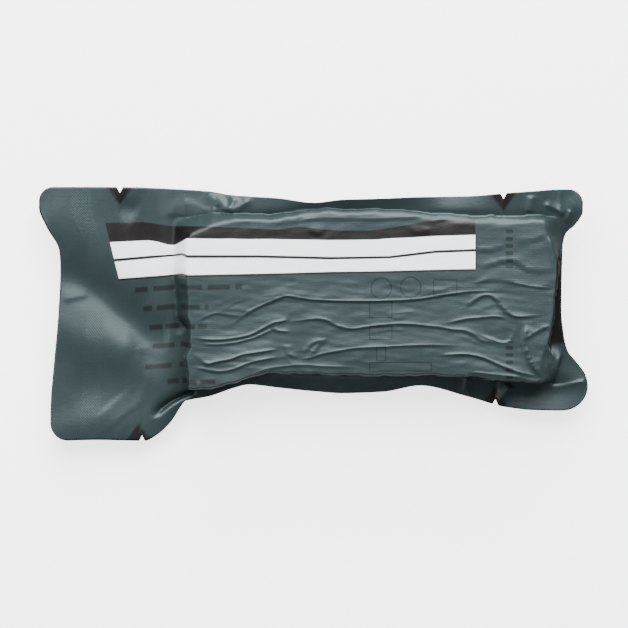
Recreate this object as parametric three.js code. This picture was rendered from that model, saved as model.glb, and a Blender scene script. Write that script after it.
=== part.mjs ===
// Emergency trauma bandage, vacuum packed: a wound bandage roll lying in a heat-sealed pouch
// that is made of a front film and a back film. Millimetres, +Z up. +X runs along the roll
// towards the end with the two ears, +Y across it towards the narrow seal, and the pouch lies
// on its back film.
import * as THREE from 'three';

// Sizes of the bandage roll
const rollLength = 150;
const rollWidth = 62.5;
const rollHeight = 25.6;
const rollCorner = 9.6;
const layerPitch = 3.1;
const layerGap = 0.4;
const leastCorner = 0.4;

// Sizes of the pouch
const flapLength = 60.5;
const earLength = 12.1;
const sealWidth = 10;
const filmWall = 0.8;
const filmClearance = 0.6;
const endClearance = 1.8;
const sealGap = 0.5;
const faceCrown = 1.2;
const crownPower = 4;

// How far in from the foot of the pocket its rounded walls reach, at each side, and how square
// their shoulders are: 2 is an ellipse, and more is squarer
const topWallReach = 8;
const lowWallReach = 6;
const flapWallReach = 4;
const earWallReach = 4;
const topShoulder = 2.3;
const plainShoulder = 4;

// Round corners and tear notches of the outline
const flapTopRadius = 6;
const flapLowRadius = 7.5;
const earTopRadius = 6;
const earLowRadius = 10;
const notchWidth = 2.6;
const notchDepth = 2.4;

// Wrinkles of the front film, and the waves that both films share
const wrinkleHeight = 1.5;
const wrinkleReach = 2.2;
const waveHeight = 3.2;
const waveReach = 10;

// A fold starts and ends at this share of its height and is whole after a fifth of its run
const foldStart = 0.35;
const foldRamp = 5;

// The pocket is the space that the roll lies in, out to the outside of the films
const rollInset = filmWall + filmClearance;
const pocketLength = rollLength + 2 * (filmWall + endClearance);
const pocketWidth = rollWidth + 2 * rollInset;
const pocketHeight = rollHeight + 2 * rollInset;

// Sections of the pouch. A station is a share of the flap below 0, of the pocket from 0 to 1
// and of the ears above 1. The edges top and low, and the lines head and foot at the bottom of
// the pocket's top and low wall, lie outside the pocket's side by these shares of the seal
// width. The last two columns are the heights of the seal at its two edges, as shares of the
// pocket's height.
const sections = [
  { station: -1.0, top: 1.20, head: 0.00, foot: 1.00, low: 2.81, topHigh: 0.5, lowHigh: 0.42 },
  { station: -0.66, top: 1.20, head: 0.00, foot: 0.95, low: 2.77, topHigh: 0.5, lowHigh: 0.38 },
  { station: -0.3, top: 1.18, head: 0.00, foot: 0.85, low: 2.81, topHigh: 0.5, lowHigh: 0.34 },
  { station: -0.22, top: 1.16, head: 0.00, foot: 0.80, low: 2.60, topHigh: 0.51, lowHigh: 0.33 },
  { station: -0.11, top: 1.12, head: 0.02, foot: 0.74, low: 2.03, topHigh: 0.55, lowHigh: 0.31 },
  { station: 0.0, top: 1.08, head: 0.05, foot: 0.70, low: 1.15, topHigh: 0.62, lowHigh: 0.29 },
  { station: 0.065, top: 1.00, head: 0.08, foot: 0.65, low: 0.95, topHigh: 0.7, lowHigh: 0.27 },
  { station: 0.13, top: 0.83, head: 0.12, foot: 0.40, low: 0.61, topHigh: 0.76, lowHigh: 0.25 },
  { station: 0.17, top: 0.79, head: 0.14, foot: 0.18, low: 0.47, topHigh: 0.78, lowHigh: 0.25 },
  { station: 0.25, top: 0.71, head: 0.16, foot: 0.00, low: 0.60, topHigh: 0.8, lowHigh: 0.24 },
  { station: 0.345, top: 0.51, head: 0.18, foot: 0.00, low: 0.75, topHigh: 0.82, lowHigh: 0.24 },
  { station: 0.42, top: 0.63, head: 0.20, foot: 0.10, low: 0.83, topHigh: 0.84, lowHigh: 0.24 },
  { station: 0.53, top: 0.68, head: 0.20, foot: 0.10, low: 0.77, topHigh: 0.86, lowHigh: 0.24 },
  { station: 0.63, top: 0.75, head: 0.20, foot: 0.10, low: 0.51, topHigh: 0.9, lowHigh: 0.24 },
  { station: 0.755, top: 0.79, head: 0.20, foot: 0.12, low: 0.96, topHigh: 0.92, lowHigh: 0.25 },
  { station: 0.86, top: 0.92, head: 0.20, foot: 0.34, low: 1.41, topHigh: 0.9, lowHigh: 0.27 },
  { station: 0.93, top: 1.00, head: 0.20, foot: 0.36, low: 1.53, topHigh: 0.86, lowHigh: 0.28 },
  { station: 1.0, top: 1.08, head: 0.18, foot: 0.40, low: 1.55, topHigh: 0.8, lowHigh: 0.3 },
  { station: 2.0, top: 1.08, head: 0.18, foot: 0.40, low: 1.53, topHigh: 0.76, lowHigh: 0.3 },
];

// The wavy end of the flap and of the ears: how far in from the tip the end lies, as a share
// of the flap's or the ears' length, against the share of the way across from top to low edge
const flapEnd = [
  { across: 0.0, inward: 0.0 },
  { across: 0.08, inward: 0.0 },
  { across: 0.155, inward: 0.05 },
  { across: 0.25, inward: 0.138 },
  { across: 0.31, inward: 0.145 },
  { across: 0.5, inward: 0.132 },
  { across: 0.7, inward: 0.1 },
  { across: 0.86, inward: 0.078 },
  { across: 1.0, inward: 0.076 },
];
const earEnd = [
  { across: 0.0, inward: 0.21 },
  { across: 0.1, inward: 0.22 },
  { across: 0.16, inward: 0.48 },
  { across: 0.2, inward: 0.8 },
  { across: 0.26, inward: 0.9 },
  { across: 0.54, inward: 0.93 },
  { across: 0.66, inward: 0.84 },
  { across: 0.73, inward: 0.7 },
  { across: 0.78, inward: 0.4 },
  { across: 0.84, inward: 0.08 },
  { across: 0.89, inward: 0.0 },
  { across: 1.0, inward: 0.0 },
];

// Tear notches: the station of each, and the edge that it is cut into
const notches = [
  { station: -0.445, edge: 'top' },
  { station: -0.321, edge: 'low' },
  { station: 0.848, edge: 'top' },
  { station: 0.831, edge: 'low' },
];

// Waves of both films. Each runs through its points, given as stations and as shares of the
// way across from the top edge. Its rise and reach are shares of the wave's height and reach.
const waves = [
  { stations: [-1.0, -0.6, -0.2], across: [0.1, 0.22, 0.4], rise: 0.8, reach: 1.1 },
  { stations: [-1.0, -0.5, -0.24, -0.1], across: [0.3, 0.45, 0.58, 0.63], rise: -1.0, reach: 0.8 },
  { stations: [-1.0, -0.7, -0.35], across: [0.52, 0.6, 0.66], rise: 0.7, reach: 0.8 },
  { stations: [-0.8, -0.5, -0.3], across: [0.8, 0.78, 0.82], rise: -0.6, reach: 0.9 },
  { stations: [-1.0, -0.6, -0.4], across: [0.98, 0.93, 0.97], rise: 0.5, reach: 0.7 },
  { stations: [0.065, 0.115], across: [0.0, 0.1], rise: 0.35, reach: 0.16 },
  { stations: [0.13, 0.118], across: [0.0, 0.1], rise: 0.35, reach: 0.16 },
  { stations: [0.178, 0.125], across: [0.0, 0.1], rise: 0.3, reach: 0.2 },
  { stations: [1.1, 1.6], across: [0.12, 0.06], rise: 0.45, reach: 0.4 },
  { stations: [0.97, 1.5, 1.95], across: [0.8, 0.86, 0.88], rise: 0.5, reach: 0.4 },
];

// Wrinkles of the front film over the pocket. Here the share across runs straight from the top
// side of the pocket to its low side. The rise and reach are shares of the wrinkle's height and
// reach.
const wrinkles = [
  // slack that lies along the top wall
  { stations: [0.26, 0.36, 0.52, 0.61, 0.7], across: [0.07, 0.05, 0.05, 0.04, 0.03],
    rise: 0.7, reach: 1.1 },
  { stations: [0.01, 0.05, 0.1], across: [0.08, 0.06, 0.09], rise: 0.9, reach: 1.8 },
  // long wrinkles of the face, from the label down
  { stations: [0.122, 0.162, 0.2, 0.251, 0.316, 0.372, 0.5, 0.61, 0.684, 0.765, 0.881],
    across: [0.705, 0.628, 0.577, 0.526, 0.526, 0.538, 0.542, 0.532, 0.506, 0.481, 0.478],
    rise: 0.9, reach: 1.0 },
  { stations: [0.02, 0.062, 0.101, 0.146, 0.177, 0.208, 0.238, 0.269],
    across: [0.771, 0.785, 0.785, 0.771, 0.753, 0.717, 0.679, 0.662], rise: 1.0, reach: 0.9 },
  { stations: [0.269, 0.316, 0.354, 0.377, 0.407, 0.445, 0.488, 0.573, 0.666, 0.741, 0.795, 0.849],
    across: [0.679, 0.662, 0.653, 0.662, 0.698, 0.717, 0.703, 0.685, 0.703, 0.726, 0.794, 0.803],
    rise: 0.7, reach: 0.9 },
  { stations: [0.023, 0.058, 0.084, 0.122, 0.154, 0.2, 0.257],
    across: [0.871, 0.935, 0.926, 0.909, 0.881, 0.863, 0.845], rise: 0.9, reach: 0.9 },
  { stations: [0.308, 0.337, 0.392, 0.458, 0.523, 0.631, 0.738],
    across: [0.909, 0.899, 0.863, 0.839, 0.832, 0.82, 0.823], rise: 0.7, reach: 1.0 },
  { stations: [0.673, 0.741, 0.788, 0.842, 0.881, 0.93],
    across: [0.886, 0.877, 0.895, 0.949, 0.97, 0.98], rise: 0.7, reach: 0.9 },
  // wrinkles that gather at the ears
  { stations: [0.78, 0.827, 0.849, 0.881, 0.918, 0.985],
    across: [0.338, 0.301, 0.287, 0.292, 0.347, 0.351], rise: 0.9, reach: 0.9 },
  { stations: [0.741, 0.776, 0.803, 0.827, 0.849, 0.881, 0.956],
    across: [0.593, 0.529, 0.502, 0.529, 0.593, 0.639, 0.63], rise: 0.9, reach: 0.9 },
  { stations: [0.908, 0.903, 0.908, 0.923, 0.945],
    across: [0.685, 0.756, 0.849, 0.941, 1.0], rise: 1.0, reach: 1.0 },
];

// Lines of the mesh. Walls get three rows between foot and face, where they turn most.
const sealRows = [0, 0.13, 0.3, 0.6];
const wallRows = [0, 0.05, 0.2, 0.5];
const faceRows = [0, 0.18, 0.34, 0.42, 0.48, 0.55, 0.62, 0.69, 0.76, 0.84, 0.92, 1];
const flapColumns = [0, 0.025, 0.06, 0.1, 0.2, 0.3, 0.4, 0.49, 0.61, 0.77, 0.89];
const faceColumns = 15;
const earColumns = [0.12, 0.35, 0.6, 0.75, 0.9, 1];
const sectionArcPoints = 4;

// Small helpers
const mix = (from, to, share) => from + (to - from) * share;
const clamp = (value) => Math.min(1, Math.max(0, value));
const ease = (share) => clamp(share) ** 2 * (3 - 2 * clamp(share));

// A smooth curve through two columns of a table that never swings past its own rows
function curveThrough(rows, from, to) {
  const slopes = rows.slice(1).map((row, i) => (row[to] - rows[i][to]) / (row[from] - rows[i][from]));
  const tangents = rows.map((_, i) => {
    const [before, after] = [slopes[i - 1] ?? 0, slopes[i] ?? 0];
    return before * after > 0 ? (2 * before * after) / (before + after) : 0;
  });
  return (place) => {
    const last = rows.length - 2;
    const i = Math.min(last, Math.max(0, rows.findLastIndex((row) => row[from] <= place)));
    const span = rows[i + 1][from] - rows[i][from];
    const t = clamp((place - rows[i][from]) / span);
    const [start, end] = [rows[i][to], rows[i + 1][to]];
    const lift = span * t * (1 - t) * (tangents[i] * (1 - t) - tangents[i + 1] * t);
    return start + (end - start) * ease(t) + lift;
  };
}

const sectionColumns = ['top', 'head', 'foot', 'low', 'topHigh', 'lowHigh'];
const section = Object.fromEntries(
  sectionColumns.map((name) => [name, curveThrough(sections, 'station', name)]),
);
const flapInward = curveThrough(flapEnd, 'across', 'inward');
const earInward = curveThrough(earEnd, 'across', 'inward');

// Length along X of the stretch that a station lies on, and its place where the ends are square
const stretchLength = (station) => (station < 0 ? flapLength : station > 1 ? earLength : pocketLength);
const stationX = (station) => {
  const whole = Math.min(0, station) * flapLength + clamp(station) * pocketLength;
  return whole + Math.max(0, station - 1) * earLength - pocketLength / 2;
};

// How deep the notches cut into an edge at a station
function notchCut(station, edge) {
  const depths = notches.filter((notch) => notch.edge === edge).map((notch) => {
    const away = Math.abs(station - notch.station) * stretchLength(notch.station);
    return notchDepth * clamp(1 - away / (notchWidth / 2));
  });
  return Math.max(...depths);
}

// The four lines that run along the pouch: top edge, head, foot, low edge
function rails(station) {
  const side = pocketWidth / 2;
  return [
    side + section.top(station) * sealWidth - notchCut(station, 'top'),
    side + section.head(station) * sealWidth,
    -side - section.foot(station) * sealWidth,
    -side - section.low(station) * sealWidth + notchCut(station, 'low'),
  ];
}

// Bends the square corner of a grid to a round one of this radius
function roundCorner(point, cornerX, cornerY, radius, sideX, sideY) {
  const a = 1 - (sideX * (cornerX - point.x)) / radius;
  const b = 1 - (sideY * (cornerY - point.y)) / radius;
  if (a <= 0 || b <= 0) return;
  point.x = cornerX - sideX * radius * (1 - a * Math.sqrt(1 - (b * b) / 2));
  point.y = cornerY - sideY * radius * (1 - b * Math.sqrt(1 - (a * a) / 2));
}

// The place on the plan of a station and a row. Rows 0 to 1 lie on the top seal, 1 to 2 on the
// pocket and 2 to 3 on the low seal.
function planPoint(station, row) {
  const lines = rails(station);
  const strip = Math.min(2, Math.floor(row));
  const y = mix(lines[strip], lines[strip + 1], row - strip);
  const across = (lines[0] - y) / (lines[0] - lines[3]);
  const flapPull = Math.min(0, station) * flapLength * flapInward(across);
  const earPull = Math.max(0, station - 1) * earLength * earInward(across);
  const point = new THREE.Vector2(stationX(station) - flapPull - earPull, y);
  const [flapTop, earTop] = [rails(-1), rails(2)];
  const [left, right] = [stationX(-1), stationX(2)];
  const flapLowX = left + flapLength * flapInward(1);
  const earTopX = right - earLength * earInward(0);
  roundCorner(point, left, flapTop[0], flapTopRadius, -1, 1);
  roundCorner(point, flapLowX, flapTop[3], flapLowRadius, -1, -1);
  roundCorner(point, earTopX, earTop[0], earTopRadius, 1, 1);
  roundCorner(point, right, earTop[3], earLowRadius, 1, -1);
  return point;
}

// Height that a list of ridges and valleys adds at a place of the plan
function foldHeight(folds, place) {
  return folds.reduce((sum, fold) => {
    let nearest = Infinity;
    let run = 0;
    fold.path.slice(1).forEach((end, i) => {
      const start = fold.path[i];
      const way = end.clone().sub(start);
      const share = clamp(place.clone().sub(start).dot(way) / way.lengthSq());
      const away = start.clone().addScaledVector(way, share).distanceTo(place);
      if (away < nearest) {
        nearest = away;
        run = (i + share) / (fold.path.length - 1);
      }
    });
    const fade = ease(run * foldRamp + foldStart) * ease((1 - run) * foldRamp + foldStart);
    return sum + fold.height * fade * Math.exp(-((nearest / fold.reach) ** 2));
  }, 0);
}

// Paths of the waves and wrinkles on the plan
const wavePaths = waves.map((wave) => ({
  path: wave.stations.map((station, i) => {
    const lines = rails(station);
    return new THREE.Vector2(stationX(station), mix(lines[0], lines[3], wave.across[i]));
  }),
  height: wave.rise * waveHeight,
  reach: wave.reach * waveReach,
}));
const wrinklePaths = wrinkles.map((wrinkle) => ({
  path: wrinkle.stations.map((station, i) => {
    return new THREE.Vector2(stationX(station), (0.5 - wrinkle.across[i]) * pocketWidth);
  }),
  height: wrinkle.rise * wrinkleHeight,
  reach: wrinkle.reach * wrinkleReach,
}));

// How far a place lies up the rounded wall of the pocket: 0 at its foot and outside, 1 on its face
function wallShare(place, station) {
  const lines = rails(station);
  const depths = [
    (lines[1] - place.y) / topWallReach,
    (place.y - lines[2]) / lowWallReach,
    (place.x + pocketLength / 2) / flapWallReach,
    (pocketLength / 2 - place.x) / earWallReach,
  ].map(clamp);
  const powers = [topShoulder, plainShoulder, plainShoulder, plainShoulder];
  const shares = depths.map((depth, i) => (1 - (1 - depth) ** powers[i]) ** (1 / powers[i]));
  return shares.reduce((product, share) => product * share, 1);
}

// Height of the seal's upper side, where the two films lie on each other
function sealHeight(place, station) {
  const lines = rails(station);
  const across = clamp((lines[0] - place.y) / (lines[0] - lines[3]));
  const flat = mix(section.topHigh(station), section.lowHigh(station), across) * pocketHeight;
  return flat + foldHeight(wavePaths, place);
}

// Outer side of the front film
function frontHeight(place, station) {
  const up = wallShare(place, station);
  const seal = sealHeight(place, station);
  if (up === 0) return seal;
  const out = clamp(Math.abs(place.y) / (pocketWidth / 2));
  const face = pocketHeight - faceCrown * out ** crownPower;
  return mix(seal, face + foldHeight(wrinklePaths, place) * ease(up * 1.5), up);
}

// Outer side of the back film: below the front film at the seal, and flat where it lies on the
// ground. On a slope the two walls take more height.
function backHeight(place, station) {
  const step = new THREE.Vector2(0.1, 0);
  const slopes = [step, new THREE.Vector2(0, step.x)].map((way) => {
    const [after, before] = [place.clone().add(way), place.clone().sub(way)];
    return (foldHeight(wavePaths, after) - foldHeight(wavePaths, before)) / (2 * step.x);
  });
  const seal = sealHeight(place, station) - (2 * filmWall + sealGap) * Math.hypot(1, ...slopes);
  return mix(seal, 0, wallShare(place, station));
}

// Stations of the mesh's columns, with three for each notch
function columnStations() {
  const wall = (reach) => wallRows.map((share) => (share * reach) / pocketLength);
  const [first, last] = [flapWallReach / pocketLength, 1 - earWallReach / pocketLength];
  const face = Array.from({ length: faceColumns + 1 }, (_, i) => mix(first, last, i / faceColumns));
  const plain = [
    ...flapColumns.map((share) => share - 1),
    ...wall(flapWallReach),
    ...face,
    ...wall(earWallReach).map((share) => 1 - share),
    ...earColumns.map((share) => 1 + share),
  ];
  const cuts = notches.flatMap(({ station }) => {
    const half = notchWidth / 2 / stretchLength(station);
    return [station - half, station, station + half];
  });
  const tooNear = (station) => cuts.some((cut) => {
    return Math.abs(cut - station) * stretchLength(cut) < notchWidth / 2;
  });
  const sorted = [...plain.filter((station) => !tooNear(station)), ...cuts].sort((a, b) => a - b);
  return sorted.filter((station, i) => i === 0 || station - sorted[i - 1] > 1e-3);
}

// Rows of the mesh, from the top edge to the low edge
function rowPlaces() {
  const [first, last] = [topWallReach / pocketWidth, 1 - lowWallReach / pocketWidth];
  const face = faceRows.map((share) => 1 + mix(first, last, share));
  return [
    ...sealRows,
    ...wallRows.map((share) => 1 + (share * topWallReach) / pocketWidth),
    ...face,
    ...wallRows.map((share) => 2 - (share * lowWallReach) / pocketWidth).reverse(),
    ...sealRows.map((share) => 3 - share).reverse(),
  ];
}

// A film: a grid of points over the plan, and the same grid moved by the wall to its inner side
function filmGeometry(heightAt, inward) {
  const stations = columnStations();
  const rows = rowPlaces();
  const points = stations.map((station) => rows.map((row) => {
    const place = planPoint(station, row);
    return new THREE.Vector3(place.x, place.y, heightAt(place, station));
  }));
  const at = (i, j) => points[clampIndex(i, stations.length)][clampIndex(j, rows.length)];
  const inner = points.map((line, i) => line.map((point, j) => {
    const along = at(i + 1, j).clone().sub(at(i - 1, j));
    const across = at(i, j - 1).clone().sub(at(i, j + 1));
    const normal = along.cross(across).normalize();
    return point.clone().addScaledVector(normal, inward * filmWall);
  }));
  return closedSheet(points, inner, inward > 0);
}

const clampIndex = (index, count) => Math.min(count - 1, Math.max(0, index));

// Joins two grids of points to one closed wall. The first grid faces up, unless it is turned.
function closedSheet(upper, lower, turned) {
  const [columns, rows] = [upper.length, upper[0].length];
  const positions = [...upper.flat(), ...lower.flat()].flatMap((point) => point.toArray());
  const index = (i, j, side) => side * columns * rows + i * rows + j;
  const faces = [];
  const quad = (a, b, c, d) => faces.push(a, b, c, a, c, d);
  for (let i = 0; i + 1 < columns; i += 1) {
    for (let j = 0; j + 1 < rows; j += 1) {
      quad(index(i, j, 0), index(i, j + 1, 0), index(i + 1, j + 1, 0), index(i + 1, j, 0));
      quad(index(i, j, 1), index(i + 1, j, 1), index(i + 1, j + 1, 1), index(i, j + 1, 1));
    }
    quad(index(i, 0, 0), index(i + 1, 0, 0), index(i + 1, 0, 1), index(i, 0, 1));
    quad(index(i + 1, rows - 1, 0), index(i, rows - 1, 0), index(i, rows - 1, 1), index(i + 1, rows - 1, 1));
  }
  const last = columns - 1;
  for (let j = 0; j + 1 < rows; j += 1) {
    quad(index(0, j + 1, 0), index(0, j, 0), index(0, j, 1), index(0, j + 1, 1));
    quad(index(last, j, 0), index(last, j + 1, 0), index(last, j + 1, 1), index(last, j, 1));
  }
  if (turned) faces.reverse();
  const geometry = new THREE.BufferGeometry();
  geometry.setAttribute('position', new THREE.Float32BufferAttribute(positions, 3));
  geometry.setIndex(faces);
  return geometry;
}

// A place on the wound section. The turn counts the layers, and each steps in at its last corner.
function windingPoint(turn, inset) {
  const stepIn = clamp((turn % 1) * 4 - 3);
  const shrink = (Math.floor(turn + 1e-6) + stepIn) * layerPitch + inset;
  const halfWide = rollWidth / 2 - shrink;
  const halfHigh = rollHeight / 2 - shrink;
  const radius = Math.min(Math.max(rollCorner - shrink, leastCorner), halfHigh);
  const corner = Math.floor((turn % 1) * 4 + 1e-6);
  const sweep = ((turn % 1) * 4 - corner) * (1 + 1 / (sectionArcPoints - 1)) * (Math.PI / 2);
  const angle = corner * (Math.PI / 2) + Math.min(sweep, Math.PI / 2);
  const [wide, high] = [[1, 1], [-1, 1], [-1, -1], [1, -1]][corner];
  return new THREE.Vector2(
    wide * (halfWide - radius) + radius * Math.cos(angle),
    high * (halfHigh - radius) + radius * Math.sin(angle),
  );
}

// The flattened roll: one long strip wound inward to its middle, with a narrow gap between layers
function rollGeometry() {
  const layers = (rollHeight / 2 - layerGap) / layerPitch - 1;
  const steps = Math.floor(layers * 4) * sectionArcPoints;
  const turns = Array.from({ length: steps + 1 }, (_, i) => i / (4 * sectionArcPoints));
  const outside = turns.map((turn) => windingPoint(turn, 0));
  const inside = turns.map((turn) => windingPoint(turn, layerPitch - layerGap)).reverse();
  const outline = new THREE.Shape([...outside, ...inside]);
  const geometry = new THREE.ExtrudeGeometry(outline, { depth: rollLength, bevelEnabled: false });
  geometry.translate(0, 0, -rollLength / 2);
  return geometry;
}

// Finishes
const filmFinish = { color: 0x5d7072, roughness: 0.34, metalness: 0.25 };
const frontMaterial = new THREE.MeshStandardMaterial(filmFinish);
const backMaterial = new THREE.MeshStandardMaterial(filmFinish);
const gauzeMaterial = new THREE.MeshStandardMaterial({ color: 0xe7e2d4, roughness: 0.95, metalness: 0 });

function namedMesh(name, geometry, material) {
  const mesh = new THREE.Mesh(geometry, material);
  mesh.name = name;
  return mesh;
}

const frontFilm = namedMesh('front_film', filmGeometry(frontHeight, -1), frontMaterial);
const backFilm = namedMesh('back_film', filmGeometry(backHeight, 1), backMaterial);
const bandageRoll = namedMesh('bandage_roll', rollGeometry(), gauzeMaterial);
bandageRoll.rotation.set(Math.PI / 2, 0, Math.PI / 2, 'ZXY');
bandageRoll.position.z = pocketHeight / 2;

// The origin lies on the ground under the middle of the pouch's outline
const pouch = new THREE.Group();
pouch.add(frontFilm, backFilm, bandageRoll);
pouch.updateMatrixWorld(true);
const middle = new THREE.Box3().setFromObject(pouch).getCenter(new THREE.Vector3());
pouch.position.set(-middle.x, -middle.y, 0);

export default pouch;
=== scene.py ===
"""Emergency trauma bandage, vacuum packed.

A flattened bandage roll lies between two laminate films that are sealed round it: a printed
front film, drawn down over the roll in wrinkles, and a plain back film that lies on the floor.
Sizes are in millimetres until a mesh is placed, and a mesh is in metres.
"""
import logging
import math
from dataclasses import dataclass, field
from enum import Enum
from functools import reduce

import bpy
import numpy as np
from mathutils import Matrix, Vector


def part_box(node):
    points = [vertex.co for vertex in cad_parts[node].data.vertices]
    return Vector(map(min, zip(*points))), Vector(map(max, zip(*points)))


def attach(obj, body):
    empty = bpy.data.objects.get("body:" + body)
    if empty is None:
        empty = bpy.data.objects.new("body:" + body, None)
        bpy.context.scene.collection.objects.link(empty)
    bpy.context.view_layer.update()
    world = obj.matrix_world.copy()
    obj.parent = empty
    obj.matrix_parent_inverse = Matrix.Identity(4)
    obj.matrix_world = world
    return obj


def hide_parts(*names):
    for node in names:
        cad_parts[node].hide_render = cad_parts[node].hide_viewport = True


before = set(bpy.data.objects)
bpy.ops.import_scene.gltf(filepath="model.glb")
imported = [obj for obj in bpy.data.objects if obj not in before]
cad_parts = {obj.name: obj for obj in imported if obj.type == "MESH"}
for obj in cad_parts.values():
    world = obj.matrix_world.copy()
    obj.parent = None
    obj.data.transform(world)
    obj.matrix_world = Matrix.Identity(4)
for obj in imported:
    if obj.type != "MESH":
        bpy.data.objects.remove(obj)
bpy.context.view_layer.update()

MM = 0.001
BODY = "root"
log = logging.getLogger("bandage")

Socket = bpy.types.NodeSocket
Colour = tuple[float, float, float, float]
# A stretch of a pattern: where it starts, where it ends and how soft its edges are
Span = tuple[float, float, float]


class Edge(Enum):
    """The long edge of the pouch that a notch is cut into."""

    TOP = "top"
    LOW = "low"


class Side(Enum):
    """A side of the pocket."""

    TOP = "top"
    LOW = "low"
    FLAP = "flap"
    EARS = "ears"


class Layer(Enum):
    """Where a fold shows: on the face alone, on the seal alone, or on the front film all over."""

    FACE = "face"
    SEAL = "seal"
    SKIN = "skin"


@dataclass(frozen=True)
class Section:
    """A cross-section of the pouch.

    A station is a share of the flap below 0, of the pocket from 0 to 1 and of the ears above 1.
    The edges, and the head and foot at the bottom of the top and low wall, lie outside the
    pocket's side by shares of the seal width. The two heights of the seal are shares of the
    pocket's height.
    """

    station: float
    top: float
    head: float
    foot: float
    low: float
    top_high: float
    low_high: float


@dataclass(frozen=True)
class Wall:
    """The wall of the pocket at one place along one of its sides.

    The place is a station on the long sides and a share across the pocket at its two ends. The
    inset is how far in the wall starts, and the reach how much further in it ends, both in
    millimetres. The shoulder says how square its top is, and the softness is how much of it is
    a soft slope instead.
    """

    place: float
    inset: float
    reach: float
    shoulder: float
    softness: float


@dataclass(frozen=True)
class Fold:
    """A ridge, or a crease where its rise is below zero, that runs through points of the plan.

    The points are shares of the pocket's length and of its width from the top side. The rise is
    in millimetres, and the reach above and below the line says how fast it falls off there.
    """

    points: tuple[tuple[float, float], ...]
    rise: float
    above: float
    below: float


@dataclass(frozen=True)
class FineFolds:
    """The short fine folds of the low half of the face.

    They lie between two shares along and across the pocket. Half their length, their rise and
    their reaches are in millimetres, and the turn and bend say how much they stray from straight.
    """

    count: int = 46
    along: tuple[float, float] = (0.03, 0.97)
    across: tuple[float, float] = (0.42, 1.0)
    half_length: tuple[float, float] = (3.0, 10.0)
    turn: float = 0.28
    bend: float = 0.12
    rise: tuple[float, float] = (0.03, 0.11)
    above: float = 1.3
    below: float = 0.42


@dataclass(frozen=True)
class Swell:
    """A crowd of faint waves: their joint height, their number and their range of lengths."""

    height: float
    count: int
    lengths: tuple[float, float]
    turn: float = 0.45
    skew: float = 0.6


@dataclass(frozen=True)
class Spots:
    """Points of the plan: their places along and across the pouch, and their stations."""

    x: np.ndarray
    y: np.ndarray
    station: np.ndarray


SECTIONS = (
    Section(-1.0, 1.20, 0.00, 1.00, 2.81, 0.50, 0.42),
    Section(-0.66, 1.20, 0.00, 0.95, 2.77, 0.50, 0.38),
    Section(-0.3, 1.18, 0.00, 0.85, 2.81, 0.50, 0.34),
    Section(-0.22, 1.16, 0.00, 0.80, 2.60, 0.51, 0.33),
    Section(-0.11, 1.12, 0.02, 0.74, 2.03, 0.58, 0.31),
    Section(0.0, 1.08, 0.05, 0.70, 1.15, 0.66, 0.29),
    Section(0.065, 1.00, 0.08, 0.65, 0.95, 0.76, 0.27),
    Section(0.13, 0.83, 0.12, 0.40, 0.61, 0.82, 0.25),
    Section(0.17, 0.79, 0.14, 0.18, 0.47, 0.84, 0.25),
    Section(0.25, 0.71, 0.16, 0.00, 0.60, 0.87, 0.24),
    Section(0.345, 0.51, 0.18, 0.00, 0.75, 0.91, 0.24),
    Section(0.42, 0.63, 0.20, 0.10, 0.83, 0.93, 0.24),
    Section(0.53, 0.68, 0.20, 0.10, 0.77, 0.94, 0.24),
    Section(0.63, 0.75, 0.20, 0.10, 0.51, 0.97, 0.24),
    Section(0.755, 0.79, 0.20, 0.12, 0.96, 0.985, 0.25),
    Section(0.86, 0.92, 0.20, 0.34, 1.41, 0.97, 0.27),
    Section(0.93, 1.00, 0.20, 0.36, 1.53, 0.93, 0.28),
    Section(1.0, 1.08, 0.18, 0.40, 1.55, 0.85, 0.3),
    Section(2.0, 1.08, 0.18, 0.40, 1.53, 0.77, 0.3),
)

# How far in from the tip the wavy end of the flap and of the ears lies, as a share of the
# flap's or the ears' length, against the share of the way across from the top edge
FLAP_END = (
    (0.0, 0.0), (0.08, 0.0), (0.155, 0.05), (0.25, 0.138), (0.31, 0.145), (0.5, 0.132),
    (0.7, 0.1), (0.86, 0.078), (1.0, 0.076),
)
EAR_END = (
    (0.0, 0.21), (0.1, 0.22), (0.16, 0.48), (0.2, 0.8), (0.26, 0.9), (0.54, 0.93), (0.66, 0.84),
    (0.73, 0.7), (0.78, 0.4), (0.84, 0.08), (0.89, 0.0), (1.0, 0.0),
)

# Tear notches: the station and the edge of each
NOTCHES = ((-0.445, Edge.TOP), (-0.321, Edge.LOW), (0.848, Edge.TOP), (0.831, Edge.LOW))

# Broad waves that both films share: stations, shares across from the top edge, rise and reach
WAVES = (
    ((-1.0, -0.6, -0.25), (0.0, 0.0, 0.0), 3.2, 24.0),
    ((-1.0, -0.6, -0.2), (0.1, 0.22, 0.4), 2.56, 11.0),
    ((-1.0, -0.5, -0.24, -0.1), (0.3, 0.45, 0.58, 0.63), -3.2, 8.0),
    ((-1.0, -0.7, -0.35), (0.52, 0.6, 0.66), 2.24, 8.0),
    ((-0.8, -0.5, -0.3), (0.8, 0.78, 0.82), -1.92, 9.0),
    ((-1.0, -0.6, -0.4), (0.98, 0.93, 0.97), 1.6, 7.0),
    ((0.065, 0.115), (0.0, 0.1), 1.12, 1.6),
    ((0.13, 0.118), (0.0, 0.1), 1.12, 1.6),
    ((0.178, 0.125), (0.0, 0.1), 0.96, 2.0),
    ((1.1, 1.6), (0.12, 0.06), 1.44, 4.0),
    ((0.97, 1.5, 1.95), (0.8, 0.86, 0.88), 1.6, 4.0),
)

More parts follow.
